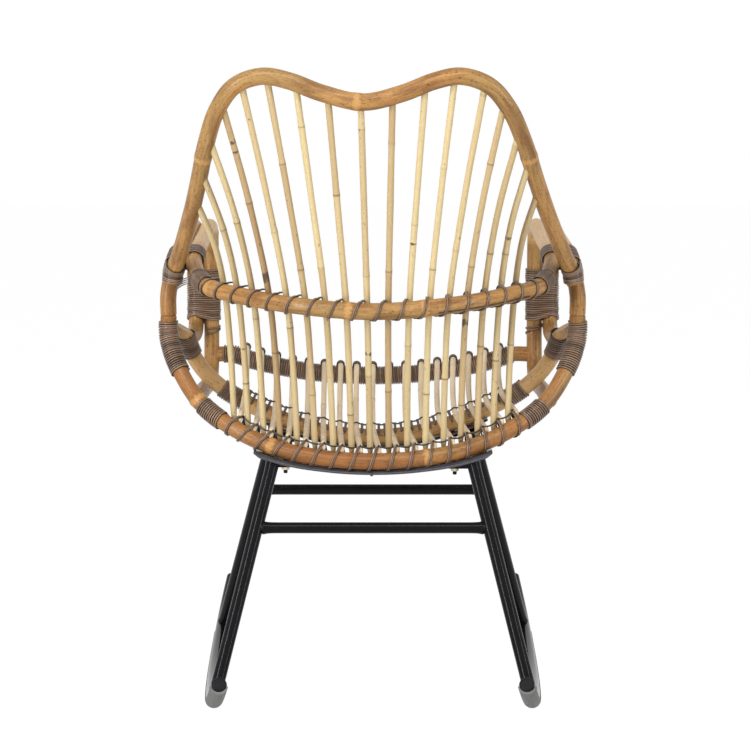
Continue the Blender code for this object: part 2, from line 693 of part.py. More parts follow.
def leg_ends(side, label):
    rail = rail_path_of(label)
    foot_y = REAR_LEG_FOOT_Y if label == "rear" else FRONT_LEG_FOOT_Y
    foot_z = runner_height(foot_y)
    foot = runner_point(side, foot_y, foot_z)
    top_z = band_line(rail, LEG_TOP_X) - BAND_THICKNESS
    top = runner_point(side, band_y(label), top_z)
    if label == "front":
        top.x += side * FRONT_LEG_SPREAD
    return foot, top


def leg_mitre(side, label):
    """Plane of a leg's top: the underside of its band, less the clearance."""
    rail = rail_path_of(label)
    foot, top = leg_ends(side, label)
    x = abs(top.x)
    reach = LEG_RADIUS
    slope = (band_line(rail, x + reach) - band_line(rail, x - reach)) / (2 * reach)
    normal = Vector((-side * slope, 0.0, 1.0)).normalized()
    point = Vector((top.x, top.y, band_line(rail, x) - BAND_THICKNESS)) - normal * LEG_TOP_GAP
    return point, normal

def make_side_frame(name, side):
    points = [runner_point(side, y, z) for y, z in RUNNER]
    frame = as_mesh(tube("side_frame_" + name, points, TUBE_RADIUS, STEEL_FINISH, RUNNER_SIDES))
    for label in ("rear", "front"):
        foot, top = leg_ends(side, label)
        leg = bar("leg_%s_%s" % (label, name), foot, top, LEG_RADIUS, STEEL_FINISH, 12, CUTTERS,
                  leg_mitre(side, label))
        combine(frame, as_cutter(leg), "UNION")
    return frame


def leg_at_height(side, label, z):
    foot, top = leg_ends(side, label)
    share = (z - foot.z) / (top.z - foot.z)
    return foot.lerp(top, share)


def make_stretcher(label):
    """A cross tube whose ends are cut to the legs."""
    height = REAR_STRETCHER_HEIGHT if label == "rear" else FRONT_STRETCHER_HEIGHT
    left = leg_at_height(1, label, height)
    right = leg_at_height(-1, label, height)
    cross = bar("stretcher_" + label, right, left, STRETCHER_RADIUS, STEEL_FINISH, 10)
    for name, side in (("left", 1), ("right", -1)):
        foot, top = leg_ends(side, label)
        beyond = (top - foot).normalized() * LEG_DIAMETER
        cope = bar("cope_%s_%s" % (label, name), foot - beyond, top + beyond,
                   LEG_RADIUS + CLEARANCE, STEEL_FINISH, 12, CUTTERS)
        combine(cross, as_cutter(cope), "DIFFERENCE")


def make_glide(name, side):
    """A half-round plastic channel under the runner, from its rear end to behind the front leg."""
    kept = [point for point in RUNNER if point[0] >= GLIDE_FRONT_Y]
    facet = math.radians(GLIDE_WRAP_DEGREES) / GLIDE_FACETS
    angles = [(k - GLIDE_FACETS / 2) * facet for k in range(GLIDE_FACETS + 1)]
    skin = GLIDE_OUTSIDE / math.cos(facet / 2)
    lining = GLIDE_INSIDE / math.cos(facet / 2)
    section = [(skin, a) for a in angles] + [(lining, a) for a in reversed(angles)]
    work = bmesh.new()
    rings = []
    for k, (y, z) in enumerate(kept):
        ahead = kept[min(k + 1, len(kept) - 1)]
        behind = kept[max(k - 1, 0)]
        along = Vector((ahead[0] - behind[0], ahead[1] - behind[1])).normalized()
        ring = []
        for radius, angle in section:
            depth = radius * math.cos(angle)
            spot = (side * base_x(y, z) + radius * math.sin(angle), y + along.y * depth, z - along.x * depth)
            ring.append(work.verts.new(spot))
        rings.append(ring)
    for a, b in zip(rings, rings[1:]):
        for k in range(len(section)):
            n = (k + 1) % len(section)
            work.faces.new((a[k], a[n], b[n], b[k]))
    for ring in (rings[0], rings[-1]):
        for k in range(GLIDE_FACETS):
            work.faces.new((ring[k], ring[k + 1], ring[-2 - k], ring[-1 - k]))
    bmesh.ops.recalc_face_normals(work, faces=work.faces)
    mesh = bpy.data.meshes.new("runner_glide_" + name)
    work.to_mesh(mesh)
    work.free()
    mesh.materials.append(GLIDE_FINISH)
    thing = bpy.data.objects.new("runner_glide_" + name, mesh)
    CHAIR.objects.link(thing)


def make_base(rear_rail, mid_rail):
    rear_band = make_band("rear_band", "rear")
    mid_band = make_band("front_band", "front")
    make_bolts(rear_rail, rear_band, "rear")
    make_bolts(mid_rail, mid_band, "front")
    for name, side in (("left", 1), ("right", -1)):
        make_side_frame(name, side)
        make_glide(name, side)
    make_stretcher("rear")
    make_stretcher("front")


# Cane windings

def least_gap(points, window):
    """Smallest distance between turns of a winding, less the strand."""
    least = 1.0
    for i, a in enumerate(points):
        for b in points[i + window:]:
            least = min(least, (a - b).length)
    return least - STRAND_DIAMETER


def report_gap(name, points, window):
    print("%s: least gap to itself %.2f mm" % (name, least_gap(points, window) * 1000))


def lashing(name, rail, centre, pitch, loops):
    """One strand round a rail: it crosses the inside square, between rods, and steps on outside."""
    points = []
    for k in range(loops * LOOP_POINTS + 1):
        loop, part = divmod(k, LOOP_POINTS)
        share = part / LOOP_POINTS
        s = centre + (loop - loops / 2 + lash_step(share)) * pitch
        turn = 2 * math.pi * share
        inward = rail.inward(s)
        across = inward.cross(rail.tangent(s))
        points.append(rail.at(s) + (inward * math.cos(turn) + across * math.sin(turn)) * LOOP_REACH)
    report_gap(name, points, LOOP_POINTS // 2)
    tube(name, points, STRAND_RADIUS, CANE_FINISH, ROD_SIDES)


def rail_wrap(name, rail, start, end, loops):
    """One strand wound evenly round a rail."""
    points = []
    for k in range(loops * LOOP_POINTS + 1):
        s = start + (end - start) * k / (loops * LOOP_POINTS)
        turn = 2 * math.pi * k / LOOP_POINTS
        inward = rail.inward(s)
        across = rail.tangent(s).cross(inward)
        points.append(rail.at(s) + (inward * math.cos(turn) + across * math.sin(turn)) * LOOP_REACH)
    report_gap(name, points, LOOP_POINTS // 2)
    tube(name, points, STRAND_RADIUS, CANE_FINISH, WRAP_SIDES)


def pair_wrap(name, side, axis, span, inner_start, outer_start, loops):
    """One strand wound round the belt pole and the outer arm pole together, along one axis."""
    quarter = math.pi / 4
    shape = [(1, a * quarter) for a in range(-2, 3)] + [(0, math.pi + a * quarter) for a in range(-2, 3)]
    points = []
    total = loops * len(shape)
    for k in range(total + 1):
        on_outer, angle = shape[k % len(shape)]
        value = span[0] + (span[1] - span[0]) * k / total
        a = BELT.at(BELT.mark_where(value, axis, inner_start))
        s = OUTER_ARM.mark_where(value, axis, outer_start)
        b = OUTER_ARM.at(s)
        along = OUTER_ARM.tangent(s, POLE_DIAMETER)
        out = b - a
        out = (out - along * out.dot(along)).normalized()
        up = along.cross(out)
        middle = b if on_outer else a
        spot = middle + (out * math.cos(angle) + up * math.sin(angle)) * LOOP_REACH
        points.append(Vector((side * spot.x, spot.y, spot.z)))
    report_gap(name, points, len(shape) // 2)
    tube(name, points, STRAND_RADIUS, CANE_FINISH, WRAP_SIDES)


def make_windings():
    lashing("belt_lashing", BELT, BELT.centre + SPINDLE_BELT_SHIFT, SPINDLE_BELT_SPACING, BELT_LASH_LOOPS)
    lashing("rear_rail_lashing", REAR_RAIL, rear_lash_centre(), SPINDLE_FOOT_SPACING, REAR_LASH_LOOPS)
    margin = FRONT_WRAP_MARGIN
    rail_wrap("front_rail_wrap", FRONT_RAIL, margin, FRONT_RAIL.length - margin, FRONT_WRAP_LOOPS)
    belt_front = BELT.mark_where(POST_Y + POST_BEND, 1, BELT.centre)
    outer_front = OUTER_ARM.mark_where(POST_Y + POST_BEND, 1)
    binding = (ARM_BINDING_REAR_Y, ARM_BINDING_REAR_Y - ARM_BINDING_LENGTH)
    post_loops = round((POST_WRAP_TOP - POST_WRAP_BOTTOM) / POST_WRAP_PITCH)
    for name, side in (("left", 1), ("right", -1)):
        pair_wrap("post_wrap_" + name, side, 2, (POST_WRAP_TOP, POST_WRAP_BOTTOM), belt_front,
                  outer_front, post_loops)
        pair_wrap("arm_binding_" + name, side, 1, binding, BELT.centre, 0.0, ARM_BINDING_LOOPS)


def centre_on_floor():
    """Hang every piece on one empty, so that the origin is under the middle of the chair."""
    bpy.context.view_layer.update()
    corners = [thing.matrix_world @ Vector(c) for thing in CHAIR.objects for c in thing.bound_box]
    empty = bpy.data.objects.new("chair_origin", None)
    empty.location.y = -(min(c.y for c in corners) + max(c.y for c in corners)) / 2
    for thing in list(CHAIR.objects) + list(CUTTERS.objects):
        thing.parent = empty
    CHAIR.objects.link(empty)


back_hoop, seat_rear_rail, seat_mid_rail = make_poles()
make_spindles(back_hoop)
make_slats()
make_base(seat_rear_rail, seat_mid_rail)
make_windings()
centre_on_floor()
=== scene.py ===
"""Rattan rocking chair, dressed: smooth poles and rods, cane bindings, steel base and a white stage."""

import math
import random

import bmesh
import bpy
from mathutils import Matrix, Vector, noise


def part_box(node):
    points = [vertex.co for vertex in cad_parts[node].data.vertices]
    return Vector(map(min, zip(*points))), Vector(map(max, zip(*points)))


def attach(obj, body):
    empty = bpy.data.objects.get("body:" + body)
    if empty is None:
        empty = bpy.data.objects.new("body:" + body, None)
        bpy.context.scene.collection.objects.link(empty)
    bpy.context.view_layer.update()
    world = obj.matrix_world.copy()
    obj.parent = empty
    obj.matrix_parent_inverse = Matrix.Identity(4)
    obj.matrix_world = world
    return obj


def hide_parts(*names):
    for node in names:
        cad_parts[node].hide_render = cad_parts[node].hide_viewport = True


bl_info = {
    "name": "Rattan Rocking Chair",
    "version": (1, 0, 0),
    "blender": (4, 5, 0),
    "location": "View3D > Sidebar > Chair",
    "description": "Dresses the rattan rocking chair and sets its stage",
    "category": "Object",
}

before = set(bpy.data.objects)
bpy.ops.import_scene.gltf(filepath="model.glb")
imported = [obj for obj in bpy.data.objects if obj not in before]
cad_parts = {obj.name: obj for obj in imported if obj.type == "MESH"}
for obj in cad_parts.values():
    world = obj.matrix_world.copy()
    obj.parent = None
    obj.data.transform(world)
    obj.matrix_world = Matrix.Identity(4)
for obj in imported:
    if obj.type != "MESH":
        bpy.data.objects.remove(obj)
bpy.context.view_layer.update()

# Sizes in metres, measured from the drawing origin of the part's source
POLE_RADIUS = 0.012
SPINDLE_RADIUS = 0.0046
SLAT_RADIUS = 0.00425
RUNNER_RADIUS = 0.011
LEG_RADIUS = 0.0095
STRETCHER_RADIUS = 0.008
ARM_X = 0.263
POST_X = 0.256
OUTER_X = 0.2873
OUTER_POST_X = 0.2803
POST_Y = -0.262
JUNCTION = Vector((0.301, 0.076, 0.561))
CONTACT_Y = 0.040
ROD_COUNT = 17
BELT_SPACING = 0.0317
BELT_SHIFT = 0.0087
FOOT_SPACING = 0.0275
FOOT_SHIFT = 0.0040
SLAT_SPACING = 0.0262
LEG_TOP_X = 0.144
LEG_SPLAY = math.tan(math.radians(14.6))
RUNNER_TOE = 0.025
FRONT_LEG_SPREAD = 0.005
REAR_Y = 0.193
MID_Y = 0.010
BAND_Y = {"rear": REAR_Y - 0.010, "front": MID_Y - 0.003}
BAND_THICKNESS = 0.0032
BAND_WIDTH = 0.032
BAND_HALF_SPAN = 0.172
BAND_TAPER = 0.008
LUG_WIDTH = 0.018
LUG_THICKNESS = 0.0030
GLIDE_OUTSIDE = 0.0147
BUCKET_CENTRE = Vector((0.0, -0.02, 0.608))

# The drawing origin stands this far from the part's own origin
SHIFT = Vector((0.0, sum(corner.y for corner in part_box("rear_band")) / 2 - BAND_Y["rear"], 0.0))

# Axes of a point, by number
X, Y, Z = range(3)

# The hoop leans to the sitter's left by this share of its height above its ends
HOOP_LEAN = 0.0155 / 0.294
HOOP_END_Z = 0.622


class Path:
    """A smooth curve through a few points, measured by its length."""

    def __init__(self, points, count=200, steps=24):
        knots = [Vector(p) for p in points]
        knots = [knots[0] * 2 - knots[1]] + knots + [knots[-1] * 2 - knots[-2]]
        fine = []
        for i in range(1, len(knots) - 2):
            for k in range(steps):
                fine.append(self.between(knots[i - 1:i + 3], k / steps))
        fine.append(knots[-2])
        self.follow(fine)
        self.follow([self.at(self.length * i / (count - 1)) for i in range(count)])

    def follow(self, points):
        """Run straight from point to point, and measure the way."""
        self.points = points
        self.marks = [0.0]
        for a, b in zip(points, points[1:]):
            self.marks.append(self.marks[-1] + (b - a).length)
        self.length = self.marks[-1]
        self.centre = self.length / 2

    @staticmethod
    def between(knots, t):
        """Centripetal spline between the two middle knots."""
        times = [0.0]
        for a, b in zip(knots, knots[1:]):
            times.append(times[-1] + math.sqrt((b - a).length))
        at = times[1] + t * (times[2] - times[1])

        def mix(a, b, ta, tb):
            return a * ((tb - at) / (tb - ta)) + b * ((at - ta) / (tb - ta))

        low = [mix(knots[i], knots[i + 1], times[i], times[i + 1]) for i in range(3)]
        mid = [mix(low[i], low[i + 1], times[i], times[i + 2]) for i in range(2)]
        return mix(mid[0], mid[1], times[1], times[2])

    def at(self, s):
        """Point at a length; beyond an end the curve runs straight on."""
        low, high = 0, len(self.marks) - 1
        while high - low > 1:
            middle = (low + high) // 2
            if self.marks[middle] <= s:
                low = middle
            else:
                high = middle
        share = (s - self.marks[low]) / (self.marks[high] - self.marks[low])
        return self.points[low] + (self.points[high] - self.points[low]) * share

    def tangent(self, s, reach=0.003):
        return (self.at(s + reach) - self.at(s - reach)).normalized()

    def inward(self, s):
        """Unit vector square to the curve, pointing to the inside of the bucket."""
        tangent = self.tangent(s)
        aim = BUCKET_CENTRE - self.at(s)
        return (aim - tangent * aim.dot(tangent)).normalized()

    def mark_where(self, value, axis, start=0.0):
        """Length at which a coordinate first passes a value, at or after start."""
        for i in range(len(self.points) - 1):
            a = self.points[i][axis]
            b = self.points[i + 1][axis]
            if self.marks[i] >= start and (a - value) * (b - value) <= 0 and a != b:
                return self.marks[i] + (value - a) / (b - a) * (self.marks[i + 1] - self.marks[i])
        raise ValueError("the curve never passes %.4f" % value)

    def mirrored(self):
        return Path([(-p.x, p.y, p.z) for p in self.points], len(self.points), 1)


def both_sides(half):
    """Points of a symmetric curve, from right end to left end, out of its left half."""
    return [(-x, y, z) for x, y, z in reversed(half) if x > 0] + list(half)


def leaning(points):
    """The hoop stands a little to the left, the more so the higher it is."""
    return [(x + HOOP_LEAN * (z - HOOP_END_Z), y, z) for x, y, z in points]


HOOP = Path(leaning(both_sides([
    (0.0, 0.355, 0.881), (0.055, 0.353, 0.893), (0.1005, 0.350, 0.910), (0.1365, 0.345, 0.916),
    (0.1745, 0.338, 0.903), (0.2015, 0.323, 0.870), (0.2205, 0.298, 0.824), (0.2358, 0.252, 0.774),
    (0.2527, 0.203, 0.722), (0.2725, 0.150, 0.670), (0.292, 0.1013, HOOP_END_Z),
    (0.295, 0.1013, 0.608)])), 330)
BELT = Path(both_sides([
    (0.0, 0.277, 0.586), (0.103, 0.259, 0.592), (0.190, 0.205, 0.602), (0.243, 0.145, 0.612),
    (ARM_X, 0.072, 0.636), (ARM_X, 0.020, 0.648), (0.2595, -0.120, 0.662),
    (POST_X, POST_Y + 0.045, 0.672), (POST_X, POST_Y + 0.010, 0.660),
    (POST_X, POST_Y, 0.627), (POST_X, POST_Y, 0.529),
    (POST_X, POST_Y + 0.004, 0.477), (POST_X, POST_Y + 0.018, 0.446), (POST_X, POST_Y + 0.055, 0.432),
    (0.2595, -0.060, 0.432), (ARM_X - 0.004, 0.098, 0.438)]), 700)
REAR_RAIL = Path(both_sides([
    (0.0, 0.193, 0.361), (0.060, 0.191, 0.364), (0.132, 0.181, 0.376), (0.196, 0.161, 0.401),
    (0.252, 0.127, 0.438), (0.287, 0.095, 0.489), (JUNCTION.x, JUNCTION.y, 0.531),
    tuple(JUNCTION)]), 320)
MID_RAIL = Path(both_sides([
    (0.0, 0.010, 0.371), (0.060, 0.009, 0.376), (0.115, 0.006, 0.390), (0.181, 0.003, 0.417),
    (0.234, 0.006, 0.451), (0.266, 0.018, 0.491), (0.283, 0.058, 0.553)]), 300)
FRONT_RAIL = Path(both_sides([
    (0.0, -0.257, 0.432), (0.060, -0.257, 0.434), (0.120, -0.257, 0.441), (0.190, -0.257, 0.456),
    (0.2212, -0.258, 0.466), (0.2482, -0.258, 0.466)]), 240)
OUTER_ARM = Path([
    tuple(JUNCTION), (0.301, 0.076, 0.591), (0.294, 0.062, 0.630), (OUTER_X + 0.002, 0.020, 0.648),
    (0.2838, -0.120, 0.662), (OUTER_POST_X, POST_Y + 0.045, 0.672),
    (OUTER_POST_X, POST_Y + 0.010, 0.660), (OUTER_POST_X, POST_Y, 0.627), (OUTER_POST_X, POST_Y, 0.534),
    (OUTER_POST_X, POST_Y + 0.009, 0.513), (OUTER_POST_X, POST_Y + 0.034, 0.504),
    (OUTER_X - 0.006, 0.010, 0.518)], 320)


# Settings that a user would change

def length_setting(name, description, default, low, high):
    return bpy.props.FloatProperty(
        name=name, description=description, default=default, min=low, max=high, unit="LENGTH",
        subtype="DISTANCE")


class ChairSizes(bpy.types.PropertyGroup):
    cane_width: length_setting("Cane width", "Width of a flat binding strand", 0.0031, 0.002, 0.006)
    cane_thickness: length_setting("Cane thickness", "Thickness of a binding strand", 0.0025, 0.001, 0.004)
    lash_width: length_setting("Lashing width", "Width of each of the two strands that lash the rods",
                               0.0024, 0.002, 0.005)
    tie_width: length_setting("Tie width", "Width of the thin strand that ties the seat rods",
                              0.0025, 0.001, 0.004)
    knuckle_swell: length_setting("Knuckle swell", "How far a rattan knuckle stands out",
                                  0.0008, 0.0, 0.002)


def colour_setting(name, description, default):
    return bpy.props.FloatVectorProperty(
        name=name, description=description, default=default, size=3, min=0.0, max=1.0, subtype="COLOR")


class ChairColours(bpy.types.PropertyGroup):
    pole: colour_setting("Pole", "Varnished rattan pole", (0.46, 0.245, 0.078))
    pole_red: colour_setting("Red pole", "The redder poles, such as the rear rail", (0.315, 0.122, 0.032))
    pole_dark: colour_setting("Pole streaks", "Darker patches of the poles", (0.165, 0.070, 0.021))
    pole_olive: colour_setting("Olive pole", "Greener lengths of the poles", (0.335, 0.215, 0.075))
    # Real wear on the arm tops; the mid rail is painted paler with this colour too, as painted light
    # against the shade it sits in
    worn_and_painted_light: colour_setting("Faded pole", "Worn tops of the arms", (0.60, 0.375, 0.165))
    rod: colour_setting("Rod", "Pale rattan core of the back rods", (0.63, 0.505, 0.270))
    rod_brown: colour_setting("Brown rod", "The darkest of the back rods", (0.33, 0.195, 0.085))
    # Painted light: the seat rods are the same pale rattan core as the back rods, painted much lighter here
    # to offset the shade they sit in under the seat
    slat: colour_setting("Slat", "Rattan core of the seat rods", (0.90, 0.73, 0.49))
    cane: colour_setting("Cane", "Stained binding cane", (0.132, 0.079, 0.048))
    steel: colour_setting("Steel", "Black paint of the base", (0.005, 0.005, 0.006))
    glide: colour_setting("Glide", "Grey plastic of the glides", (0.165, 0.165, 0.158))
    zinc: colour_setting("Zinc", "Yellow zinc of the nuts and bolts", (0.62, 0.54, 0.36))


class StageSettings(bpy.types.PropertyGroup):
    key: bpy.props.FloatProperty(
        name="Top light", description="Power of the large light over the chair", default=40.0, min=0.0,
        unit="POWER")
    side: bpy.props.FloatProperty(
        name="Side lights", description="Power of the narrow light on the left; the right one has half",
        default=62.0, min=0.0, unit="POWER")
    fill: bpy.props.FloatProperty(
        name="Fill", description="Strength of the even light from all round", default=0.36, min=0.0)


# Finishes

# How far apart in the noise the grain of two stems is read
STEM_STEP = 7.3

# Clouds and dents of a plain finish in a metre
CLOUDS = 38.0
DENTS = 420.0


class Finish:
    """A procedural finish, wired up a step at a time."""

    def __init__(self, name, roughness, metallic=0.0):
        self.material = bpy.data.materials.new(name)
        self.material.use_nodes = True
        self.tree = self.material.node_tree
        self.shader = self.tree.nodes["Principled BSDF"]
        self.shader.inputs["Roughness"].default_value = roughness
        self.shader.inputs["Metallic"].default_value = metallic

    def put(self, socket, value):
        if isinstance(value, bpy.types.NodeSocket):
            self.tree.links.new(value, socket)
        else:
            socket.default_value = value

    def mark(self, name, output="Fac"):
        """A value that the mesh carries."""
        node = self.tree.nodes.new("ShaderNodeAttribute")
        node.attribute_name = name
        return node.outputs[output]

    def maths(self, operation, a, b=0.0):
        node = self.tree.nodes.new("ShaderNodeMath")
        node.operation = operation
        self.put(node.inputs[0], a)
        self.put(node.inputs[1], b)
        return node.outputs[0]

    def grain(self, around, along, detail=3.0, offset=0.0):
        """Noise that is stretched along the stock: repeats round it and along a metre of it."""
        length = self.maths("MULTIPLY", self.mark("along"), along)
        place = self.tree.nodes.new("ShaderNodeCombineXYZ")
        self.put(place.inputs["X"], self.maths("MULTIPLY", self.mark("stem"), STEM_STEP))
        self.put(place.inputs["Y"], offset)
        self.put(place.inputs["Z"], length)
        spread = self.tree.nodes.new("ShaderNodeVectorMath")
        spread.operation = "MULTIPLY_ADD"
        self.put(spread.inputs[0], self.mark("section", "Vector"))
        spread.inputs[1].default_value = (around, around, 0.0)
        self.put(spread.inputs[2], place.outputs[0])
        node = self.tree.nodes.new("ShaderNodeTexNoise")
        node.inputs["Scale"].default_value = 1.0
        node.inputs["Detail"].default_value = detail
        self.put(node.inputs["Vector"], spread.outputs[0])
        return node.outputs["Fac"]

    def spots(self, scale, detail=2.0):
        """Noise in the object's own coordinates."""
        place = self.tree.nodes.new("ShaderNodeTexCoord")
        node = self.tree.nodes.new("ShaderNodeTexNoise")
        node.inputs["Scale"].default_value = scale
        node.inputs["Detail"].default_value = detail
        self.put(node.inputs["Vector"], place.outputs["Object"])
        return node.outputs["Fac"]

    def between(self, value, low, high):
        """The value as a share of the way from low to high."""
        node = self.tree.nodes.new("ShaderNodeMapRange")
        node.interpolation_type = "SMOOTHSTEP"
        self.put(node.inputs["Value"], value)
        node.inputs["From Min"].default_value = low
        node.inputs["From Max"].default_value = high
        return node.outputs["Result"]

    def mix(self, share, a, b):
        node = self.tree.nodes.new("ShaderNodeMix")
        node.data_type = "RGBA"
        self.put(node.inputs["Factor"], share)
        first, second = [s for s in node.inputs if s.type == "RGBA"]
        self.put(first, a if isinstance(a, bpy.types.NodeSocket) else (*a, 1.0))
        self.put(second, b if isinstance(b, bpy.types.NodeSocket) else (*b, 1.0))
        return [s for s in node.outputs if s.type == "RGBA"][0]

    def facing(self):
        """How far a place on a strand faces away from what it is wound on: 1 on its crest."""
        node = self.tree.nodes.new("ShaderNodeSeparateXYZ")
        self.put(node.inputs[0], self.mark("section", "Vector"))
        return node.outputs["X"]

    def blend(self, share, strength, a, b):
        """Mix at part strength."""
        return self.mix(self.maths("MULTIPLY", share, strength), a, b)

    def colour(self, value):
        self.put(self.shader.inputs["Base Color"], value)

    def relief(self, height, depth):
        node = self.tree.nodes.new("ShaderNodeBump")
        node.inputs["Distance"].default_value = depth
        self.put(node.inputs["Height"], height)
        self.put(self.shader.inputs["Normal"], node.outputs["Normal"])


def tinted(colour, share):
    return tuple(min(1.0, c * share) for c in colour)


def pole_finish(colours):
    """Varnished rattan: greener and darker lengths, grain, speckles and pale, chipped knuckles."""
    made = Finish("varnished_pole", 0.50)
    blotch = made.grain(around=0.9, along=17.0, detail=4.0, offset=3.0)
    streak = made.grain(around=4.0, along=24.0, detail=4.0)
    fine = made.grain(around=9.0, along=230.0, detail=2.0, offset=6.0)
    speck = made.grain(around=6.5, along=230.0, detail=2.0, offset=9.0)
    colour = made.mix(made.mark("tone"), colours.pole, colours.pole_red)
    green = made.grain(around=0.25, along=4.0, detail=2.0, offset=12.0)
    colour = made.blend(made.between(green, 0.44, 0.60), 0.65, colour, colours.pole_olive)
    colour = made.blend(made.between(blotch, 0.44, 0.70), 0.72, colour, colours.pole_dark)
    colour = made.blend(made.between(streak, 0.44, 0.74), 0.50, colour, colours.pole_dark)
    colour = made.blend(made.between(fine, 0.46, 0.70), 0.42, colour, colours.pole_dark)
    # Wear pales the arm tops; on the mid rail this is painted light, paler to offset the shade it sits in
    colour = made.blend(made.mark("fade"), 1.0, colour, colours.worn_and_painted_light)
    dots = made.maths("MULTIPLY", made.between(speck, 0.61, 0.68), made.between(streak, 0.40, 0.56))
    colour = made.blend(dots, 0.85, colour, tinted(colours.pole_dark, 0.3))
    ring = made.mark("knuckle")
    chips = made.grain(around=3.0, along=70.0, detail=2.0, offset=4.0)
    ragged = made.maths("ADD", ring, made.maths("MULTIPLY", chips, 0.6))
    colour = made.blend(made.between(ragged, 0.62, 0.86), 0.62, colour, tinted(colours.pole, 1.25))
    rim = made.between(made.maths("MULTIPLY", ring, made.maths("SUBTRACT", 1.0, ring)), 0.17, 0.24)
    smudge = made.maths("MULTIPLY", rim, made.between(chips, 0.46, 0.66))
    colour = made.blend(smudge, 0.6, colour, tinted(colours.pole_dark, 0.6))
    made.colour(colour)
    made.relief(made.maths("ADD", streak, fine), 0.0004)
    made.shader.inputs["Specular IOR Level"].default_value = 0.20
    made.shader.inputs["Coat Weight"].default_value = 0.20
    made.shader.inputs["Coat Roughness"].default_value = 0.16
    return made.material


def rod_finish(name, pale, brown):
    """Peeled rattan: fine grain, a few speckles, dark rings and dark scars."""
    made = Finish(name, 0.48)
    streak = made.grain(around=2.4, along=12.0, detail=4.0)
    fine = made.grain(around=6.0, along=190.0, detail=2.0, offset=7.0)
    speck = made.grain(around=1.4, along=190.0, detail=2.0, offset=5.0)
    cloud = made.grain(around=0.5, along=14.0, detail=2.0, offset=2.0)
    colour = made.mix(made.mark("tone"), pale, brown)
    colour = made.blend(made.between(streak, 0.48, 0.78), 0.40, colour, tinted(brown, 1.3))
    colour = made.blend(made.between(fine, 0.48, 0.74), 0.22, colour, brown)
    dots = made.maths("MULTIPLY", made.between(speck, 0.65, 0.71), made.between(cloud, 0.48, 0.60))
    colour = made.blend(dots, 0.75, colour, tinted(brown, 0.3))
    colour = made.blend(made.between(made.mark("knuckle"), 0.45, 0.9), 0.70, colour, tinted(brown, 0.32))
    frayed = made.grain(around=0.9, along=90.0, detail=2.0, offset=8.0)
    ragged = made.maths("MULTIPLY", frayed, 1.2)
    dark_mark = made.maths("ADD", made.maths("MULTIPLY", made.mark("fade"), 0.75), ragged)
    colour = made.blend(made.between(dark_mark, 1.02, 1.30), 0.85, colour, tinted(brown, 0.16))
    made.colour(colour)
    made.relief(made.maths("ADD", streak, fine), 0.0003)
    made.shader.inputs["Specular IOR Level"].default_value = 0.35
    return made.material


def cane_finish(colours):
    """Stained cane, with painted shade: the sides of each strand are painted dark, as the shade in the gaps
    between strands that lie side by side.
    """
    made = Finish("stained_cane", 0.30)
    streak = made.grain(around=1.8, along=60.0, detail=3.0)
    colour = made.mix(made.mark("tone"), tinted(colours.cane, 0.75), tinted(colours.cane, 2.30))
    colour = made.blend(made.between(streak, 0.42, 0.72), 0.45, colour, tinted(colours.cane, 0.45))
    # Painted shade: away from its crest a strand is painted near black, as the shade in the gaps between
    # strands
    colour = made.mix(made.between(made.facing(), 0.40, 0.94), tinted(colours.cane, 0.14), colour)
    made.colour(colour)
    made.relief(streak, 0.0003)
    made.shader.inputs["Specular IOR Level"].default_value = 0.5
    return made.material


# Plain finishes: colour setting and how much brighter it is, roughness, metallic, gloss and depth of dents
PLAIN_FINISHES = {
    "black_steel": ("steel", 1.0, 0.17, 0.0, 0.10, 0.0001),
    # Painted reflection: the bands have the base's black paint, eight times lighter, to paint in the grey
    # of the white floor reflected on their edges
    "band_steel": ("steel", 8.0, 0.26, 0.0, 0.50, 0.0002),
    "black_plug": ("steel", 1.6, 0.45, 0.0, 0.10, 0.0004),
    "grey_glide": ("glide", 1.0, 0.65, 0.0, 0.12, 0.0004),
    "zinc_plate": ("zinc", 1.0, 0.38, 0.7, 0.50, 0.0),
}


def plain_finish(name, colours):
    """Paint, plastic or plate with a faint unevenness."""
    setting, brightness, roughness, metallic, gloss, dents = PLAIN_FINISHES[name]
    colour = tinted(getattr(colours, setting), brightness)
    made = Finish(name, roughness, metallic)
    made.colour(made.mix(made.spots(CLOUDS), tinted(colour, 0.8), tinted(colour, 1.2)))
    made.shader.inputs["Specular IOR Level"].default_value = gloss
    if dents:
        made.relief(made.spots(DENTS, 3.0), dents)
    return made.material


def finish(name):
    """A finish by name, made on first use."""
    if name in bpy.data.materials and bpy.data.materials[name].get("dressed"):
        return bpy.data.materials[name]
    colours = bpy.context.scene.chair_colours
    if name in bpy.data.materials:
        bpy.data.materials[name].name = name + "_cad"
    if name == "varnished_pole":
        material = pole_finish(colours)
    elif name == "peeled_core":
        material = rod_finish(name, colours.rod, colours.rod_brown)
    elif name == "seat_core":
        # Painted light: the seat rods' colour is lighter than the back rods' same core, to offset their
        # shade
        material = rod_finish(name, colours.slat, colours.rod_brown)
    elif name == "stained_cane":
        material = cane_finish(colours)
    else:
        material = plain_finish(name, colours)
    material["dressed"] = True
    return material


# Swept stock

# What each point of a centre line carries
MARKS = {"girth": "FLOAT", "along": "FLOAT", "knuckle": "FLOAT", "tone": "FLOAT", "stem": "FLOAT",
         "fade": "FLOAT", "outward": "FLOAT_VECTOR"}


def spread_out(value, count):
    return list(value) if isinstance(value, (list, tuple)) else [value] * count


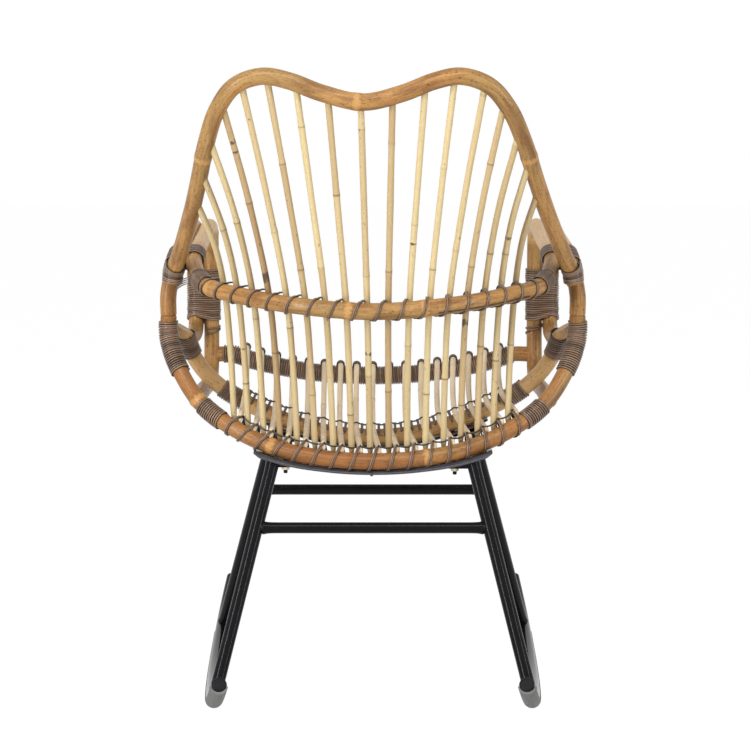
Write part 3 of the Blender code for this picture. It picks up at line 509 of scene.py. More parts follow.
class Line:
    """One length of stock: its centre line, its girth and the marks its finish needs."""

    def __init__(self, points, girth, outward=None, tone=0.0, stem=0.0, knuckles=(), ring=0.004,
                 fade=0.0):
        count = len(points)
        self.points = points
        self.girth = spread_out(girth, count)
        self.along = [0.0]
        for a, b in zip(points, points[1:]):
            self.along.append(self.along[-1] + (b - a).length)
        self.outward = outward if outward else self.steady_normals(points)
        self.tone = spread_out(tone, count)
        self.stem = [stem] * count
        self.fade = spread_out(fade, count)
        self.knuckle = [max([0.0] + [1.0 - abs(s - k) / ring for k in knuckles]) for s in self.along]

    @staticmethod
    def steady_normals(points):
        """Normals that turn no more than the line makes them."""
        normals = []
        last = Vector((0.36, 0.48, 0.80))
        for i in range(len(points)):
            run = (points[min(i + 1, len(points) - 1)] - points[max(i - 1, 0)]).normalized()
            last = (last - run * last.dot(run)).normalized()
            normals.append(last)
        return normals


def stock_tree():
    """Node group that sweeps a section along polylines and marks the place round the section."""
    name = "swept_stock"
    if name in bpy.data.node_groups:
        return bpy.data.node_groups[name]
    tree = bpy.data.node_groups.new(name, "GeometryNodeTree")
    for way, label, kind in (("INPUT", "Geometry", "Geometry"), ("INPUT", "Sides", "Int"),
                             ("INPUT", "Thickness", "Float"), ("INPUT", "Width", "Float"),
                             ("INPUT", "Material", "Material"), ("OUTPUT", "Geometry", "Geometry")):
        tree.interface.new_socket(label, in_out=way, socket_type="NodeSocket" + kind)

    def add(kind, inputs=None, **settings):
        """A node with its settings, and its inputs linked or set by name; gives its outputs."""
        node = tree.nodes.new(kind)
        for key, value in settings.items():
            setattr(node, key, value)
        for key, value in (inputs or {}).items():
            if isinstance(value, bpy.types.NodeSocket):
                tree.links.new(value, node.inputs[key])
            else:
                node.inputs[key].default_value = value
        return node.outputs

    given = add("NodeGroupInput")
    chain = add("GeometryNodeMeshToCurve", {"Mesh": given["Geometry"]})
    outward = add("GeometryNodeInputNamedAttribute", {"Name": "outward"}, data_type="FLOAT_VECTOR")
    turned = add("GeometryNodeSetCurveNormal",
                 {"Curve": chain["Curve"], "Normal": outward["Attribute"]}, mode="FREE")
    girth = add("GeometryNodeInputNamedAttribute", {"Name": "girth"}, data_type="FLOAT")
    circle = add("GeometryNodeCurvePrimitiveCircle", {"Radius": 1.0, "Resolution": given["Sides"]})
    spot = add("GeometryNodeInputPosition")
    marked = add("GeometryNodeStoreNamedAttribute",
                 {"Name": "section", "Geometry": circle["Curve"], "Value": spot["Position"]},
                 data_type="FLOAT_VECTOR")
    size = add("ShaderNodeCombineXYZ", {"X": given["Thickness"], "Y": given["Width"], "Z": 1.0})
    shaped = add("GeometryNodeTransform", {"Geometry": marked["Geometry"], "Scale": size["Vector"]})
    swept = add("GeometryNodeCurveToMesh",
                {"Fill Caps": True, "Curve": turned["Curve"], "Profile Curve": shaped["Geometry"],
                 "Scale": girth["Attribute"]})
    smooth = add("GeometryNodeSetShadeSmooth", {"Geometry": swept["Mesh"]})
    whole = add("GeometryNodeRealizeInstances", {"Geometry": smooth["Geometry"]})
    dressed = add("GeometryNodeSetMaterial",
                  {"Geometry": whole["Geometry"], "Material": given["Material"]})
    add("NodeGroupOutput", {"Geometry": dressed["Geometry"]})
    return tree


def settle(source, name, material):
    """The evaluated object as a plain closed mesh of its own."""
    graph = bpy.context.evaluated_depsgraph_get()
    graph.update()
    mesh = bpy.data.meshes.new_from_object(source.evaluated_get(graph))
    bpy.data.objects.remove(source, do_unlink=True)
    work = bmesh.new()
    work.from_mesh(mesh)
    bmesh.ops.recalc_face_normals(work, faces=work.faces)
    work.to_mesh(mesh)
    work.free()
    mesh.name = name
    mesh.materials.clear()
    mesh.materials.append(material)
    piece = bpy.data.objects.new(name, mesh)
    bpy.context.scene.collection.objects.link(piece)
    return piece


def sweep(name, lines, material_name, sides=24, thickness=1.0, width=1.0):
    """A piece swept along lines by the node group; thickness lies along each line's outward side."""
    verts = []
    edges = []
    for line in lines:
        start = len(verts)
        verts.extend(tuple(p + SHIFT) for p in line.points)
        edges.extend((start + k, start + k + 1) for k in range(len(line.points) - 1))
    mesh = bpy.data.meshes.new(name + "_lines")
    mesh.from_pydata(verts, edges, [])
    for key, kind in MARKS.items():
        layer = mesh.attributes.new(key, kind, "POINT")
        values = [v for line in lines for v in getattr(line, key)]
        if kind == "FLOAT":
            layer.data.foreach_set("value", values)
        else:
            layer.data.foreach_set("vector", [c for v in values for c in v])
    source = bpy.data.objects.new(name + "_lines", mesh)
    bpy.context.scene.collection.objects.link(source)
    tree = stock_tree()
    change = source.modifiers.new("swept_stock", "NODES")
    change.node_group = tree
    material = finish(material_name)
    values = {"Sides": sides, "Thickness": thickness, "Width": width, "Material": material}
    for item in tree.interface.items_tree:
        if item.in_out == "INPUT" and item.name in values:
            change[item.identifier] = values[item.name]
    return settle(source, name, material)


def place(piece, slot, *nodes):
    """Fix a piece to the chair, in place of the nodes that it shows better."""
    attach(piece, "root")
    if nodes:
        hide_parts(*nodes)
    return piece


def bind(name, lines, thick, wide, *nodes, sides=10):
    """A piece of binding cane along lines; thick and wide are half a strand's size."""
    return place(sweep(name, lines, "stained_cane", sides, thick, wide), "stained_cane", *nodes)


# Poles and rods

# Distance between the rings of a pole or rod
RING_STEP = 0.0035

# Rings that round over a cut end, by distance from it, and the share of its girth that the end keeps
END_RINGS = (0.0, 0.0004, 0.0012, 0.0024)
END_GIRTH = 0.86

# Half length of a knuckle's bulge
KNUCKLE_REACH = 0.006

# Waves of a stem's girth in a metre, and how far apart in the noise two stems are read
GIRTH_WAVES = 14.0
GIRTH_STEP = 3.7

# Knuckles of the poles at the back: the height of the hoop's shoulders, then lengths from a pole's middle
SHOULDER_Z = 0.803
HOOP_KNUCKLE = 0.012
BELT_KNUCKLES = (-0.66, -0.43, -0.30, -0.072, 0.034, 0.27, 0.45, 0.70)
REAR_KNUCKLES = (-0.262, -0.078, 0.150, 0.285)

# Arms are worn pale above this height and in front of this depth, each over a short way
WORN_ABOVE = 0.640
WORN_RISE = 0.014
WORN_BEFORE = 0.10
WORN_RUN = 0.06

# The mid rail is painted paler within this reach of its ends, over a short way, as painted light against
# the shade it sits in
PALE_REACH = 0.24
PALE_RUN = 0.06

# How far the slanted cut of the mid rail's ends falls from one side to the other, and where it faces:
# towards the middle and the front
SAW_FALL = 0.034
SAW_FACE = (0.86, -0.5)


def clamped(value):
    return min(1.0, max(0.0, value))


def eased(m, length):
    """Girth near a cut end, whose rim is rounded over."""
    share = min(m, length - m) / END_RINGS[-1]
    if share >= 1.0:
        return 1.0
    return END_GIRTH + (1 - END_GIRTH) * math.sqrt(max(0.0, 1 - (1 - share) ** 2))


def grown(chance, length, spacing):
    """Knuckles at a stem's natural, uneven spacing."""
    knuckles = []
    s = spacing * chance.uniform(0.3, 1.0)
    while s < length:
        knuckles.append(s)
        s += spacing * chance.uniform(0.75, 1.3)
    return knuckles


def stock_line(path, radius, seed, swell, spacing, uneven=0.02, tone=0.0, vary=0.22, knuckles=None,
               ring=0.004, taper=None, fade=None):
    """A natural length of rattan along a path: uneven girth, knuckles and eased ends.

    taper is the length and the girth's share of a slimmer start, fade gives the mark at a length: the arms'
    wear, the mid rail's painted light, the rods' scars and the slats' darker ends.
    """
    chance = random.Random(seed)
    length = path.length
    natural = grown(chance, length, spacing)
    knuckles = natural if knuckles is None else knuckles
    count = max(8, int(length / RING_STEP))
    marks = list(END_RINGS)
    marks += [RING_STEP + (length - 2 * RING_STEP) * k / count for k in range(count + 1)]
    marks += [length - m for m in reversed(END_RINGS)]
    shade = [chance.uniform(-0.5, 0.5) for _ in range(len(knuckles) + 1)]
    girth = []
    tones = []
    for m in marks:
        wave = noise.noise(Vector((seed * GIRTH_STEP, m * GIRTH_WAVES, 0.0))) * uneven * radius
        bulge = sum(math.exp(-((m - k) / KNUCKLE_REACH) ** 2) for k in knuckles) * swell
        slim = 1.0
        if taper and m < taper[0]:
            slim = taper[1] + (1 - taper[1]) * math.sin(math.pi / 2 * m / taper[0])
        girth.append((radius + wave + bulge) * eased(m, length) * slim)
        part = sum(1 for k in knuckles if k < m)
        tones.append(clamped(tone + shade[part] * vary))
    points = [path.at(m) for m in marks]
    worn = [fade(m, p) for m, p in zip(marks, points)] if fade else 0.0
    return Line(points, girth, tone=tones, stem=float(seed), knuckles=knuckles, ring=ring, fade=worn)


def worn_top(_, point):
    """Arms are worn pale where hands rest."""
    above = (point.z - WORN_ABOVE) / WORN_RISE
    before = (WORN_BEFORE - point.y) / WORN_RUN
    return 0.90 * clamped(above) * clamped(before)


def painted_light_and_sawn_ends(m, _):
    """The mid rail is painted paler than the rest, as painted light against the shade it sits in, the more
    so near its ends; along its sawn ends it is fully pale.
    """
    edge = min(m, MID_RAIL.length - m)
    if edge < SAW_FALL:
        return 1.0
    return 0.20 + 0.60 * clamped((PALE_REACH - edge) / PALE_RUN)


def sawn(piece, path):
    """Cut a pole's two ends at a slant that faces the front of the seat."""
    work = bmesh.new()
    work.from_mesh(piece.data)
    for mark, direction in ((0.0, -1), (path.length, 1)):
        end = path.at(mark)
        axis = path.tangent(mark) * direction
        inward = Vector((-math.copysign(SAW_FACE[0], end.x), SAW_FACE[1], 0.0))
        inward = (inward - axis * inward.dot(axis)).normalized()
        for vert in work.verts:
            off = vert.co - SHIFT - end
            if off.length < SAW_FALL * 2:
                share = clamped(0.5 + off.dot(inward) / POLE_RADIUS / 2)
                vert.co -= axis * max(0.0, off.dot(axis) + SAW_FALL * share)
    bmesh.ops.remove_doubles(work, verts=work.verts, dist=0.0001)
    bmesh.ops.recalc_face_normals(work, faces=work.faces)
    work.to_mesh(piece.data)
    work.free()
    return piece


def pole_knuckles():
    """Where the knuckles of the three poles at the back are."""
    hoop = [HOOP.mark_where(SHOULDER_Z, Z), HOOP.centre + HOOP_KNUCKLE,
            HOOP.mark_where(SHOULDER_Z, Z, HOOP.centre)]
    belt = [BELT.centre + off for off in BELT_KNUCKLES]
    rear = [REAR_RAIL.centre + off for off in REAR_KNUCKLES]
    return {"back_hoop": hoop, "belt_pole": belt, "seat_rear_rail": rear}


class CHAIR_OT_bent_poles(bpy.types.Operator):
    """Make the hoop, the belt pole, the seat rails and the outer arm poles"""
    bl_idname = "chair.bent_poles"
    bl_label = "Bent poles"

    def execute(self, context):
        swell = context.scene.chair_sizes.knuckle_swell
        known = pole_knuckles()
        # Node, path, seed, redness, and the paling of each pole: wear on the arms, painted light on the mid
        # rail
        poles = (
            ("back_hoop", HOOP, 3, 0.15, None),
            ("belt_pole", BELT, 5, 0.10, worn_top),
            ("seat_rear_rail", REAR_RAIL, 8, 0.85, None),
            ("seat_mid_rail", MID_RAIL, 11, 0.35, painted_light_and_sawn_ends),
            ("seat_front_rail", FRONT_RAIL, 14, 0.3, None),
            ("outer_arm_pole_left", OUTER_ARM, 17, 0.2, worn_top),
            ("outer_arm_pole_right", OUTER_ARM.mirrored(), 21, 0.2, worn_top))
        for node, path, seed, redness, fade in poles:
            line = stock_line(path, POLE_RADIUS, seed, swell, spacing=0.24, tone=redness, vary=0.3,
                              knuckles=known.get(node), ring=0.010, fade=fade)
            piece = sweep("rattan_" + node, [line], "varnished_pole", 32)
            if node == "seat_mid_rail":
                sawn(piece, path)
            place(piece, "varnished_pole", node)
        return {"FINISHED"}


def rod_numbers():
    return range(-(ROD_COUNT // 2), ROD_COUNT // 2 + 1)


def seat_point(path, s, radius, direction, carrier=POLE_RADIUS):
    """Centre of a rod that crosses a pole and rests on its inner side."""
    normal = path.tangent(s).cross(direction).normalized()
    if normal.dot(BUCKET_CENTRE - path.at(s)) < 0:
        normal = -normal
    return path.at(s) + normal * (carrier + radius)


def spindle_marks(i):
    """Lengths at which a back rod stands on the rear rail and crosses the belt."""
    return REAR_RAIL.centre + i * FOOT_SPACING + FOOT_SHIFT, BELT.centre + i * BELT_SPACING + BELT_SHIFT


# Tops of the back rods along the hoop: their spacing, how it widens outwards, and their shift to the left
TOP_SPACING = 0.0424
TOP_SPREAD = 0.000096
TOP_SHIFT = 0.0075

# How far each top is off its even place, from the middle rod to the left, then from the right
ROD_WANDER = (-0.001, 0.003, 0.007, 0.004, -0.005, -0.012, -0.007, 0.005, 0.006,
              0.003, 0.006, 0.006, 0.005, -0.004, -0.006, -0.008, -0.003)

# A back rod's foot ends this far above its seat on the rear rail
FOOT_LIFT = 0.002

# Bow of the outer back rods above the belt, and the first rod that has all of it
ROD_BOW = 0.0060
FULL_BOW = 6

# Shade of each back rod, from the sitter's right to left
ROD_TONES = (0.30, 0.12, 0.30, 0.40, 0.28, 0.12, 0.05, 0.62, 0.22,
             0.36, 0.12, 0.42, 0.10, 0.66, 0.15, 0.10, 0.14)

# Dark scars: rod by number from the middle, then height along it and half length of each scar
ROD_SCARS = {
    -7: ((0.300, 0.004),),
    -5: ((0.190, 0.010),),
    -2: ((0.330, 0.003),),
    0: ((0.165, 0.005),),
    5: ((0.256, 0.014), (0.455, 0.004), (0.470, 0.006)),
    7: ((0.120, 0.003),),
}


def spindle_path(i):
    """Path of a back rod; the outer ones bow towards the middle above the belt."""
    wander = ROD_WANDER[i % ROD_COUNT]
    crown = HOOP.at(HOOP.centre + i * TOP_SPACING + i ** 3 * TOP_SPREAD + TOP_SHIFT + wander)
    foot, belt = spindle_marks(i)
    rise = (BELT.at(belt) - REAR_RAIL.at(foot)).normalized()
    low = seat_point(REAR_RAIL, foot, SPINDLE_RADIUS, rise)
    middle = seat_point(BELT, belt, SPINDLE_RADIUS, (crown - low).normalized())
    belly = Path.between([low * 2 - middle, low, middle, crown], 0.5)
    foot_end = low + (belly - low).normalized() * FOOT_LIFT
    waist = (middle + crown) / 2.0
    waist.x -= math.copysign(ROD_BOW * (min(abs(i), FULL_BOW) / FULL_BOW) ** 2, i)
    return Path([foot_end, belly, middle, waist, crown], 160)


class CHAIR_OT_back_rods(bpy.types.Operator):
    """Make the rods of the back"""
    bl_idname = "chair.back_rods"
    bl_label = "Back rods"

    def execute(self, context):
        lines = []
        for number, i in enumerate(rod_numbers()):
            scars = ROD_SCARS.get(i, ())

            def scarred(m, _, scars=scars):
                return max([0.0] + [1.0 - ((m - s) / half) ** 2 for s, half in scars])

            lines.append(stock_line(spindle_path(i), SPINDLE_RADIUS, 40 + number, swell=0.0004,
                                    spacing=0.19, uneven=0.06, tone=ROD_TONES[number], vary=0.36,
                                    taper=(0.016, 0.58), fade=scarred))
        piece = sweep("rattan_back_rods", lines, "peeled_core", 16)
        place(piece, "peeled_core", *["back_spindle_%02d" % (n + 1) for n in range(ROD_COUNT)])
        return {"FINISHED"}


# A slat's rear end lies this far beside its spindle's foot, and a little further at the sides
SLAT_BESIDE = 0.0125
SLAT_SIDE_GAP = 0.0012

# The slat's rear end is bent down into the rail by this share, within this length, and is darker there
TUCK = 0.42
TUCK_LENGTH = 0.011

# Thickness of the wrap under the slats' front ends, and how far the ends stand over it
FRONT_WRAP_SKIN = 0.0024
TIP_OVERHANG = 0.003


def slat_rear(i):
    """Where a slat ends on the rear rail: beside its spindle's foot."""
    foot, _ = spindle_marks(i)
    return foot - SLAT_BESIDE - SLAT_SIDE_GAP * (abs(i) / (ROD_COUNT // 2))


def slat_path(i):
    """Path of a seat rod: from the rear rail, over the mid rail, up onto the front rail."""
    rear = slat_rear(i)
    mid = MID_RAIL.centre + i * SLAT_SPACING
    front = FRONT_RAIL.centre + i * SLAT_SPACING
    rise = (MID_RAIL.at(mid) - REAR_RAIL.at(rear)).normalized()
    climb = (FRONT_RAIL.at(front) - MID_RAIL.at(mid)).normalized()
    back_end = seat_point(REAR_RAIL, rear, SLAT_RADIUS, rise)
    over = seat_point(MID_RAIL, mid, SLAT_RADIUS, (rise + climb).normalized())
    up = seat_point(FRONT_RAIL, front, SLAT_RADIUS, climb, POLE_RADIUS + FRONT_WRAP_SKIN)
    tip = up + (up - over).normalized() * TIP_OVERHANG
    tucked = back_end.lerp(REAR_RAIL.at(rear), TUCK)
    return Path([tucked, back_end + (over - back_end).normalized() * TUCK_LENGTH, over, up, tip], 140)


def darkened_end(m, _):
    """A slat's rear end is darker where it is tied down."""
    return 0.9 * max(0.0, 1.0 - m / TUCK_LENGTH)


class CHAIR_OT_seat_rods(bpy.types.Operator):
    """Make the rods of the seat"""
    bl_idname = "chair.seat_rods"
    bl_label = "Seat rods"

    def execute(self, context):
        lines = []
        for number, i in enumerate(rod_numbers()):
            tone = 0.05 + 0.25 * random.Random(number).random()
            lines.append(stock_line(slat_path(i), SLAT_RADIUS, 80 + number, swell=0.0003, spacing=0.21,
                                    uneven=0.06, tone=tone, taper=(0.012, 0.62), fade=darkened_end))
        piece = sweep("rattan_seat_rods", lines, "seat_core", 16)
        place(piece, "peeled_core", *["seat_slat_%02d" % (n + 1) for n in range(ROD_COUNT)])
        return {"FINISHED"}


# Cane bindings

# Turns of a close wrap lie this many strand widths apart
CLOSE_PITCH = 1.13

# Points in one turn of a wrap, and from one rod to the next in a lashing and in a tie
WRAP_STEPS = 22
LASH_STEPS = 28
TIE_STEPS = 8

# Half the width of a lashing's crossing over a rod, on the belt and on the rear rail
BELT_CROSSING = 0.0095
REAR_CROSSING = 0.0072

# The rear rail's lashing runs on past its last rods by this much
LASH_END = 0.015

# The tie along a rail: its place round the rail in degrees, and how far it sags between the slats
REAR_TIE = (25, 0.003)
MID_TIE = (12, 0.0035)

# The strand that comes up beside each slat to the rear tie: the angle round the rail at which it starts and
# how far it turns, in degrees, its gap to the slat, its height over the tie, and how soon it is up there
RISER_START = -95
RISER_TURN = 130
RISER_GAP = 0.002
RISER_PROUD = 0.001
RISER_HASTE = 1.7
RISER_STEPS = 12

# Hooks of the mid rail's tie: how far they hang down, half their width, their places between two slats,
# how far they stray from these, and how far round the rail they reach, in degrees
HOOK_DROP = 0.006
HOOK_HALF = 0.0010
HOOK_PLACES = (0.34, 0.66)
HOOK_STRAY = 0.05
HOOK_REACH = (62, 92)
HOOK_STEPS = 12

# The strand at the belt's back, in degrees round it
BELT_STRAND_TURN = 212


def around(rail, s, angle):
    """Unit vector square to a rail: 0 is towards the bucket's inside, a quarter turn towards its back."""
    inward = rail.inward(s)
    across = inward.cross(rail.tangent(s))
    return inward * math.cos(angle) + across * math.sin(angle)


def strand(rail, stops, seed, tone=0.4):
    """A strand laid by stops: length along a rail, angle round it and distance from its centre line."""
    points = [rail.at(s) + around(rail, s, angle) * away for s, angle, away in stops]
    return Line(points, 1.0, [around(rail, s, angle) for s, angle, _ in stops], tone, float(seed))


def coil(rail, start, end, turns, reach, seed=0, wander=0.0, first=0.0):
    """A strand wound round a rail."""
    chance = random.Random(seed)
    stops = []
    tones = []
    nudge = [chance.uniform(-wander, wander) for _ in range(turns + 2)]
    shade = [chance.uniform(0.0, 1.0) for _ in range(turns + 2)]
    hand = -1 if end < start else 1
    for k in range(turns * WRAP_STEPS + 1):
        turn, part = divmod(k, WRAP_STEPS)
        share = part / WRAP_STEPS
        s = start + (end - start) * k / (turns * WRAP_STEPS)
        s += nudge[turn] * (1 - share) + nudge[turn + 1] * share
        proud = wander * (shade[turn + 1] * share + shade[turn] * (1 - share))
        stops.append((s, first - hand * 2 * math.pi * share, reach + proud))
        tones.append(shade[turn] * (1 - share) + shade[turn + 1] * share)
    return strand(rail, stops, seed, tones)


def lash_lines(rail, spots, half, rod, gap, reach, seed):
    """Two strands round a rail that go over each rod inside and step on to the next rod outside.

    The first and last spot have no rod.
    """
    lines = []
    for side in (-0.5, 0.5):
        stops = []
        for k in range((len(spots) - 1) * LASH_STEPS + 1):
            number, part = divmod(k, LASH_STEPS)
            share = part / LASH_STEPS
            here = spots[number]
            following = spots[min(number + 1, len(spots) - 1)]
            if share <= 0.25:
                s = here + half * share * 4
            elif share <= 0.75:
                s = here + half + (following - here - 2 * half) * (share - 0.25) * 2
            else:
                s = following - half * (1 - share) * 4
            angle = 2 * math.pi * share
            over = max(0.0, (math.cos(angle) - 0.25) / 0.75)
            if not 0.5 < k / LASH_STEPS < len(spots) - 1.5:
                over = 0.0
            stops.append((s + side * gap, angle, reach + rod * over))
        lines.append(strand(rail, stops, seed, 0.35 + 0.5 * (side > 0)))
    return lines


def running_strand(rail, spots, angle, high, low, seed):
    """A strand that runs along a rail over its rods and sags a little between them."""
    stops = []
    for a, b in zip(spots, spots[1:]):
        for k in range(TIE_STEPS):
            share = k / TIE_STEPS
            stops.append((a + (b - a) * share, angle, high - (high - low) * math.sin(math.pi * share)))
    return strand(rail, stops, seed, 0.1)


def hook(rail, s, reach, lift, half, depth, seed):
    """A short loop that hangs from a running strand and catches the rail's edge."""
    stops = []
    for k in range(HOOK_STEPS + 1):
        share = 2 * k / HOOK_STEPS - 1
        drop = 1 - share * share
        stops.append((s + half * share, depth * drop, reach + lift * (1 - drop)))
    return strand(rail, stops, seed, 0.1)


class CHAIR_OT_lashings(bpy.types.Operator):
    """Lash the rods to the belt, the rear rail and the mid rail"""
    bl_idname = "chair.lashings"
    bl_label = "Lashings"

    def execute(self, context):
        sizes = context.scene.chair_sizes
        thick = sizes.cane_thickness / 2
        wide = sizes.lash_width / 2
        reach = POLE_RADIUS + thick
        numbers = list(rod_numbers())
        belt = [spindle_marks(i)[1] for i in [numbers[0] - 1] + numbers + [numbers[-1] + 1]]
        lines = lash_lines(BELT, belt, BELT_CROSSING, SPINDLE_RADIUS * 2, sizes.lash_width, reach, 101)
        lines.append(running_strand(BELT, belt[1:7], math.radians(BELT_STRAND_TURN), reach, reach, 107))
        bind("cane_belt_lashing", lines, thick, wide, "belt_lashing")
        rear = [slat_rear(i) for i in numbers]
        rear = [rear[0] - LASH_END] + rear + [rear[-1] + LASH_END]
        lines = lash_lines(REAR_RAIL, rear, REAR_CROSSING, SLAT_RADIUS * 2, sizes.lash_width, reach, 102)
        bind("cane_rear_lashing", lines, thick, wide, "rear_rail_lashing")
        self.ties(numbers, sizes.tie_width / 2)
        return {"FINISHED"}

    @staticmethod
    def ties(numbers, thin):
        """The thin strands that tie the seat rods to the rear rail and the mid rail."""
        top = POLE_RADIUS + SLAT_RADIUS * 2 + thin
        rear = [slat_rear(i) for i in numbers]
        turn, sag = REAR_TIE
        lines = [running_strand(REAR_RAIL, rear, math.radians(turn), top, top - sag, 103)]
        reach = POLE_RADIUS + thin
        for s in rear:
            stops = []
            for k in range(RISER_STEPS + 1):
                share = k / RISER_STEPS
                lift = reach + (top + RISER_PROUD - reach) * min(1.0, share * RISER_HASTE)
                beside = (SLAT_RADIUS + RISER_GAP) * (1 - share)
                stops.append((s + beside, math.radians(RISER_START + RISER_TURN * share), lift))
            lines.append(strand(REAR_RAIL, stops, 104, 0.1))
        mid = [MID_RAIL.centre + i * SLAT_SPACING for i in numbers]
        turn, sag = MID_TIE
        lines.append(running_strand(MID_RAIL, mid, math.radians(turn), top, top - sag, 105))
        chance = random.Random(106)
        for a, b in zip(mid, mid[1:]):
            for share in HOOK_PLACES:
                s = a + (b - a) * (share + chance.uniform(-HOOK_STRAY, HOOK_STRAY))
                depth = math.radians(chance.uniform(*HOOK_REACH))
                lines.append(hook(MID_RAIL, s, reach, HOOK_DROP, HOOK_HALF, depth, 106))
        bind("cane_seat_ties", lines, thin, thin, sides=8)


# Sides of the chair, as seen by the sitter
SIDES = (("left", 1), ("right", -1))

# Posts are looked for in front of this depth
POST_FRONT_Y = POST_Y + 0.020

# Heights of the post wraps' ends, and of the stray turns below them, from and to
POST_WRAP_Z = (0.603, 0.521)
STRAY_TURNS_Z = ((0.521, 0.497), (0.517, 0.506))

# Depths of the arm bindings' ends
BINDING_Y = (0.056, 0.020)

# The sling ties the hoop's end, from and to these lengths off its tip, to the outer arm's bend, as far as
# this depth
SLING_ON_HOOP = (0.003, 0.034)
SLING_END_Y = 0.030
SLING_LOOPS = 9

# A strand round two poles: points of each half turn, the most that a loop stands proud, and its unevenness
HALF_TURN_STEPS = 9
LOOP_PROUD = 0.0009
LOOP_UNEVEN = 0.0001

# Loose ends beside the left sling: the first one's root from the hoop's tip, the step up to the next, their
# reach, how high they arch, and their girth from root to tip
LOOSE_COUNT = 4
LOOSE_ROOT = (-0.007, 0.0085, -0.006)
LOOSE_STEP = 0.0028
LOOSE_REACH = (-0.017, 0.001, 0.009)
LOOSE_ARCH = 0.006
LOOSE_GIRTH = (0.7, 0.7, 0.65, 0.6, 0.5)

# Strands over a slat's front end: their distances from its tip, and half the angle that they go round it
TIP_LOOPS = (0.0055, 0.0105)
TIP_GRIP = 115
TIP_STEPS = 14

# Where the close wraps start: depth on the belt, and distance from the chair's middle on the two rails
BELT_WRAP_Y = 0.150
REAR_WRAP_X = 0.219
MID_WRAP_X = 0.1945

# The upper wraps start this far from a rail's end, and the mid rail's leaves this share of the saw cut bare
REAR_UPPER = 0.090
MID_UPPER = 0.069
SAW_BARE = 0.85

# Bare lengths of the front rail at its two ends
FRONT_RAIL_BARE = (0.026, 0.011)

# Length over which a wound pole's direction is taken
WOUND_REACH = 0.02


def sided(vector, side):
    """A vector of the left side, or its mirror image."""
    return Vector((side * vector.x, vector.y, vector.z))


def pair_loops(first, second, marks, loops, reach, seed, side):
    """A strand wound round two poles together, each square to itself.

    marks give where it starts and ends on each.
    """
    chance = random.Random(seed)
    arc = [-math.pi / 2 + math.pi * k / HALF_TURN_STEPS for k in range(HALF_TURN_STEPS + 1)]
    shape = [(1, a) for a in arc] + [(0, math.pi + a) for a in arc]
    points = []
    outward = []
    tones = []
    total = loops * len(shape)
    shade = [chance.uniform(0.0, 1.0) for _ in range(loops + 1)]
    for k in range(total + 1):
        on_second, angle = shape[k % len(shape)]
        share = k / total
        s = marks[0][0] + (marks[0][1] - marks[0][0]) * share
        t = marks[1][0] + (marks[1][1] - marks[1][0]) * share
        a = first.at(s)
        b = second.at(t)
        along = second.tangent(t, WOUND_REACH) if on_second else first.tangent(s, WOUND_REACH)
        if along.dot(second.tangent(t, WOUND_REACH)) < 0:
            along = -along
        out = b - a
        out = (out - along * out.dot(along)).normalized()
        away = out * math.cos(angle) + along.cross(out) * math.sin(angle)
        proud = LOOP_PROUD * shade[k // len(shape)]
        uneven = chance.uniform(-LOOP_UNEVEN, LOOP_UNEVEN)
        spot = (b if on_second else a) + away * (reach + proud + uneven)
        points.append(sided(spot, side))
        outward.append(sided(away, side))
        tones.append(shade[k // len(shape)])
    return Line(points, 1.0, outward, tones, float(seed))


def both_ends(rail, start, end, turns, reach, seed, wander=0.0):
    """The same winding on a rail's left and right half, placed by length from its middle."""
    middle = rail.centre
    return [coil(rail, middle + start, middle + end, turns, reach, seed, wander),
            coil(rail, middle - start, middle - end, turns, reach, seed + 1, wander)]


def loose_ends():
    """Ends of strands that stand out of the left sling, beside the hoop's end."""
    lines = []
    x, y, z = LOOSE_ROOT
    last = len(LOOSE_GIRTH) - 1
    for number in range(LOOSE_COUNT):
        root = HOOP.at(HOOP.length) + Vector((x, y, z + LOOSE_STEP * number))
        tip = root + Vector(LOOSE_REACH)
        points = []
        for share in [k / last for k in range(last + 1)]:
            points.append(root.lerp(tip, share) + Vector((0.0, 0.0, LOOSE_ARCH * share * (1 - share))))
        lines.append(Line(points, LOOSE_GIRTH, tone=0.5))
    return lines


